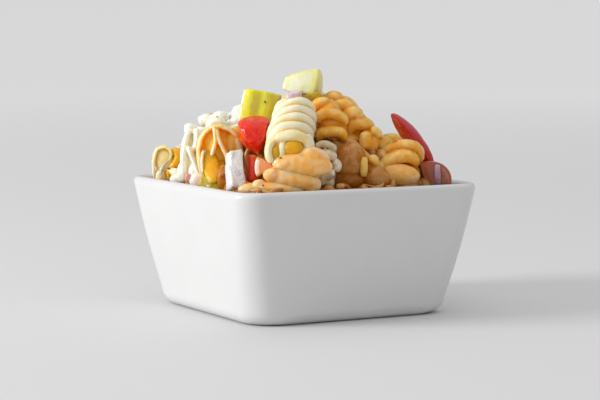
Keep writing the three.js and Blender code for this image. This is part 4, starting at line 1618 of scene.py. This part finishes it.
@dataclass
class Slivers:
    """Small cut pieces of one vegetable between the larger ones, joined into one piece."""

    name: str
    finish: FleshFinish
    slot: Slot
    slivers: Sequence[Sliver]

    # How much a sliver is bowed and kneaded, and how deep it sinks into the food, in metres.
    BOW: ClassVar[float] = 0.12
    UNEVEN: ClassVar[float] = 0.18
    SUNK: ClassVar[float] = 0.4 * MM

    def build(self, trees: Sequence[BVHTree]) -> Object:
        """Return the slivers, each rested on the food's surfaces, joined into one piece."""
        pieces = [self.sliver(sliver) for sliver in self.slivers]
        for piece in pieces:
            self.rest(piece, trees)
        joined = Bench.join(pieces, self.name)
        Bench.dress(joined, self.finish.material(), self.slot)
        return joined

    def rest(self, piece: Object, trees: Sequence[BVHTree]) -> None:
        """Shift a sliver that is clear of the food's surfaces until it is sunk a little into them."""
        ways = [tree.find_nearest(v.co)[0] - v.co for tree in trees for v in piece.data.vertices]
        way = min(ways, key=lambda way: way.length)
        if way.length > 0.05 * MM:
            Bench.put(piece, Matrix.Translation(way * (1.0 + self.SUNK / way.length)))

    def sliver(self, sliver: Sliver) -> Object:
        """Return one sliver, a small rounded block that is bowed and laid in its place."""
        Bench.clear()
        bpy.ops.mesh.primitive_cube_add(size=1.0)
        piece = Bench.take("sliver")
        Bench.put(piece, Matrix.Diagonal((*sliver.size, 1.0)))
        with Bench.editing(piece):
            bpy.ops.mesh.select_all(action="SELECT")
            bpy.ops.mesh.subdivide(number_cuts=3)
        Bench.modify(piece, "SUBSURF", levels=1, render_levels=1)
        Bench.keep(piece, "skin", [float(v.co.y > 0.3 * sliver.size[1]) for v in piece.data.vertices])
        seed = Vector(sliver.middle)
        for v in piece.data.vertices:
            v.co.x += self.BOW * v.co.z * v.co.z
            v.co += self.UNEVEN * noise.noise_vector(seed + v.co * 0.8)
        Bench.put(piece, salad_matrix() @ Matrix.Translation(sliver.middle) @ turned(sliver.turn))
        return piece


SLIVERS = [
    Slivers("onion_slivers", ONION, Slot.TOMATO, [
        Sliver((-2.0, -10.4, 61.2), (4.4, 6.0, 2.2), (0, -8, 0)),
        Sliver((-20, 24, 51.5), (6.0, 1.4, 3.0), (40, 10, 30)),
        Sliver((12, 22, 52.5), (5.0, 1.4, 3.0), (60, 20, -40)),
        Sliver((28.4, 13.2, 43.2), (4.6, 1.4, 2.6), (40, 0, 70)),
    ]),
    Slivers("red_slivers", RED_DICE, Slot.TOMATO, [
        Sliver((-14.6, -30.8, 37.6), (2.0, 1.6, 2.2), (0, 30, 10)),
        Sliver((-27, 25, 43), (3.0, 2.2, 2.6), (20, 30, 10)),
        Sliver((6, 32, 43.5), (3.4, 2.4, 2.6), (10, 20, 60)),
    ]),
    Slivers("purple_slivers", PURPLE, Slot.TOMATO, [
        Sliver((38.0, -14.9, 39.0), (2.4, 1.7, 6.2), (0, 0, 90)),
    ]),
    # A dark golden sliver under the top cucumber, partly painted shade under it.
    Slivers("shaded_golden_slivers", GOLDEN, Slot.GREEN_PEPPER, [
        Sliver((2.8, -8.8, 60.6), (5.4, 2.0, 2.4), (0, -14, 0)),
    ]),
    Slivers("pink_slivers", PINK, Slot.TOMATO, [
        Sliver((-31.7, -5.6, 37.7), (2.4, 1.4, 2.6), (0, 20, 0)),
    ]),
    Slivers("orange_slivers", ORANGE_PEPPER, Slot.CARROT, [
        Sliver((26.2, -13.2, 48.2), (1.7, 0.9, 1.2), (0, -20, 0)),
    ]),
]


@dataclass
class Seasoning:
    """Small grains that lie on whatever is topmost under them, joined into one piece."""

    name: str
    finish: FleshFinish
    slot: Slot
    sizes: tuple[float, float]
    flat: float
    count: int
    seed: int
    placed: Sequence[Triple] = ()
    reach: float = 31.0

    # Grains are strewn behind this line and dropped from this height, in metres.
    FRONT: ClassVar[float] = 0.004
    DROP: ClassVar[float] = 0.1
    # How rough and how narrow a grain is, and how far it lies out of the food, as shares of its size.
    ROUGH: ClassVar[float] = 0.6
    NARROW: ClassVar[tuple[float, float]] = (0.5, 0.9)
    PROUD: ClassVar[float] = 0.2

    def build(self, trees: Sequence[BVHTree]) -> Object:
        """Return the grains, each laid on the food's surfaces, joined into one piece."""
        rng = random.Random(self.seed)
        spots = [self.nearest(trees, salad_matrix() @ Vector(place)) for place in self.placed]
        while len(spots) < self.count + len(self.placed):
            x, y = (rng.uniform(-self.reach, self.reach) * MM for _ in range(2))
            if set_back(x, y) < self.FRONT:
                continue
            hits = [tree.ray_cast(Vector((x, y, self.DROP)), Vector((0.0, 0.0, -1.0))) for tree in trees]
            hits = [hit for hit in hits if hit[0] is not None]
            if hits:
                spots.append(max(hits, key=lambda hit: hit[0].z)[:2])
        grains = [self.grain(rng, *spot) for spot in spots]
        joined = Bench.join(grains, self.name)
        Bench.dress(joined, self.finish.material(), self.slot)
        return joined

    @staticmethod
    def nearest(trees: Sequence[BVHTree], place: Vector) -> tuple[Vector, Vector]:
        """Return the nearest point of the food and its normal."""
        hits = [tree.find_nearest(place) for tree in trees]
        return min(hits, key=lambda hit: (hit[0] - place).length)[:2]

    def grain(self, rng: random.Random, place: Vector, normal: Vector) -> Object:
        """Break one grain out of a small ball and lay it flat.

        Args:
            rng: The source of its sizes.
            place: The point that it lies on.
            normal: The food's normal there.

        Returns:
            The grain.
        """
        Bench.clear()
        bpy.ops.mesh.primitive_ico_sphere_add(subdivisions=2, radius=0.5)
        grain = Bench.take("grain")
        seed = Vector((rng.uniform(0, 50), rng.uniform(0, 50), 0.0))
        for v in grain.data.vertices:
            v.co *= 1.0 + self.ROUGH * noise.noise(seed + v.co * 2.6)
        long = rng.uniform(*self.sizes) * MM
        shape = Matrix.Diagonal((long, long * rng.uniform(*self.NARROW), long * self.flat, 1.0))
        turn = Vector((0.0, 0.0, 1.0)).rotation_difference(normal).to_matrix().to_4x4()
        spin = Matrix.Rotation(rng.uniform(0, 2 * math.pi), 4, "Z")
        lift = Matrix.Translation(place + normal * self.PROUD * long * self.flat)
        Bench.put(grain, lift @ turn @ spin @ shape)
        return grain


SEASONINGS = [
    Seasoning("ground_pepper", PEPPERCORN, Slot.PASTA, (0.45, 0.8), 0.7, 26, 11,
              [(-23.7, -5.0, 55.7), (-10.4, -14.6, 59.8), (-5.8, -36.5, 46.0), (-10.6, -37.5, 38.9)]),
    Seasoning("dried_herbs", HERB, Slot.GREEN_PEPPER, (0.6, 1.3), 0.25, 18, 5, [(-21.8, -21.0, 42.8)]),
]


def main() -> None:
    """Build the studio, the bowl and the salad in order."""
    logging.basicConfig(level=logging.INFO, format="%(name)s %(message)s")
    noise.seed_set(NOISE_SEED)
    Studio().build()
    PorcelainBowl().build()
    food = [Core().build(), *Pasta([*CORKSCREWS, *Filling().corkscrews(), *CURLS]).build()]
    food += [chunk.build() for chunk in CHUNKS]
    graph = bpy.context.evaluated_depsgraph_get()
    trees = [BVHTree.FromObject(thing, graph) for thing in food]
    for garnish in (*SLIVERS, *SEASONINGS):
        garnish.build(trees)


if __name__ == "__main__":
    main()
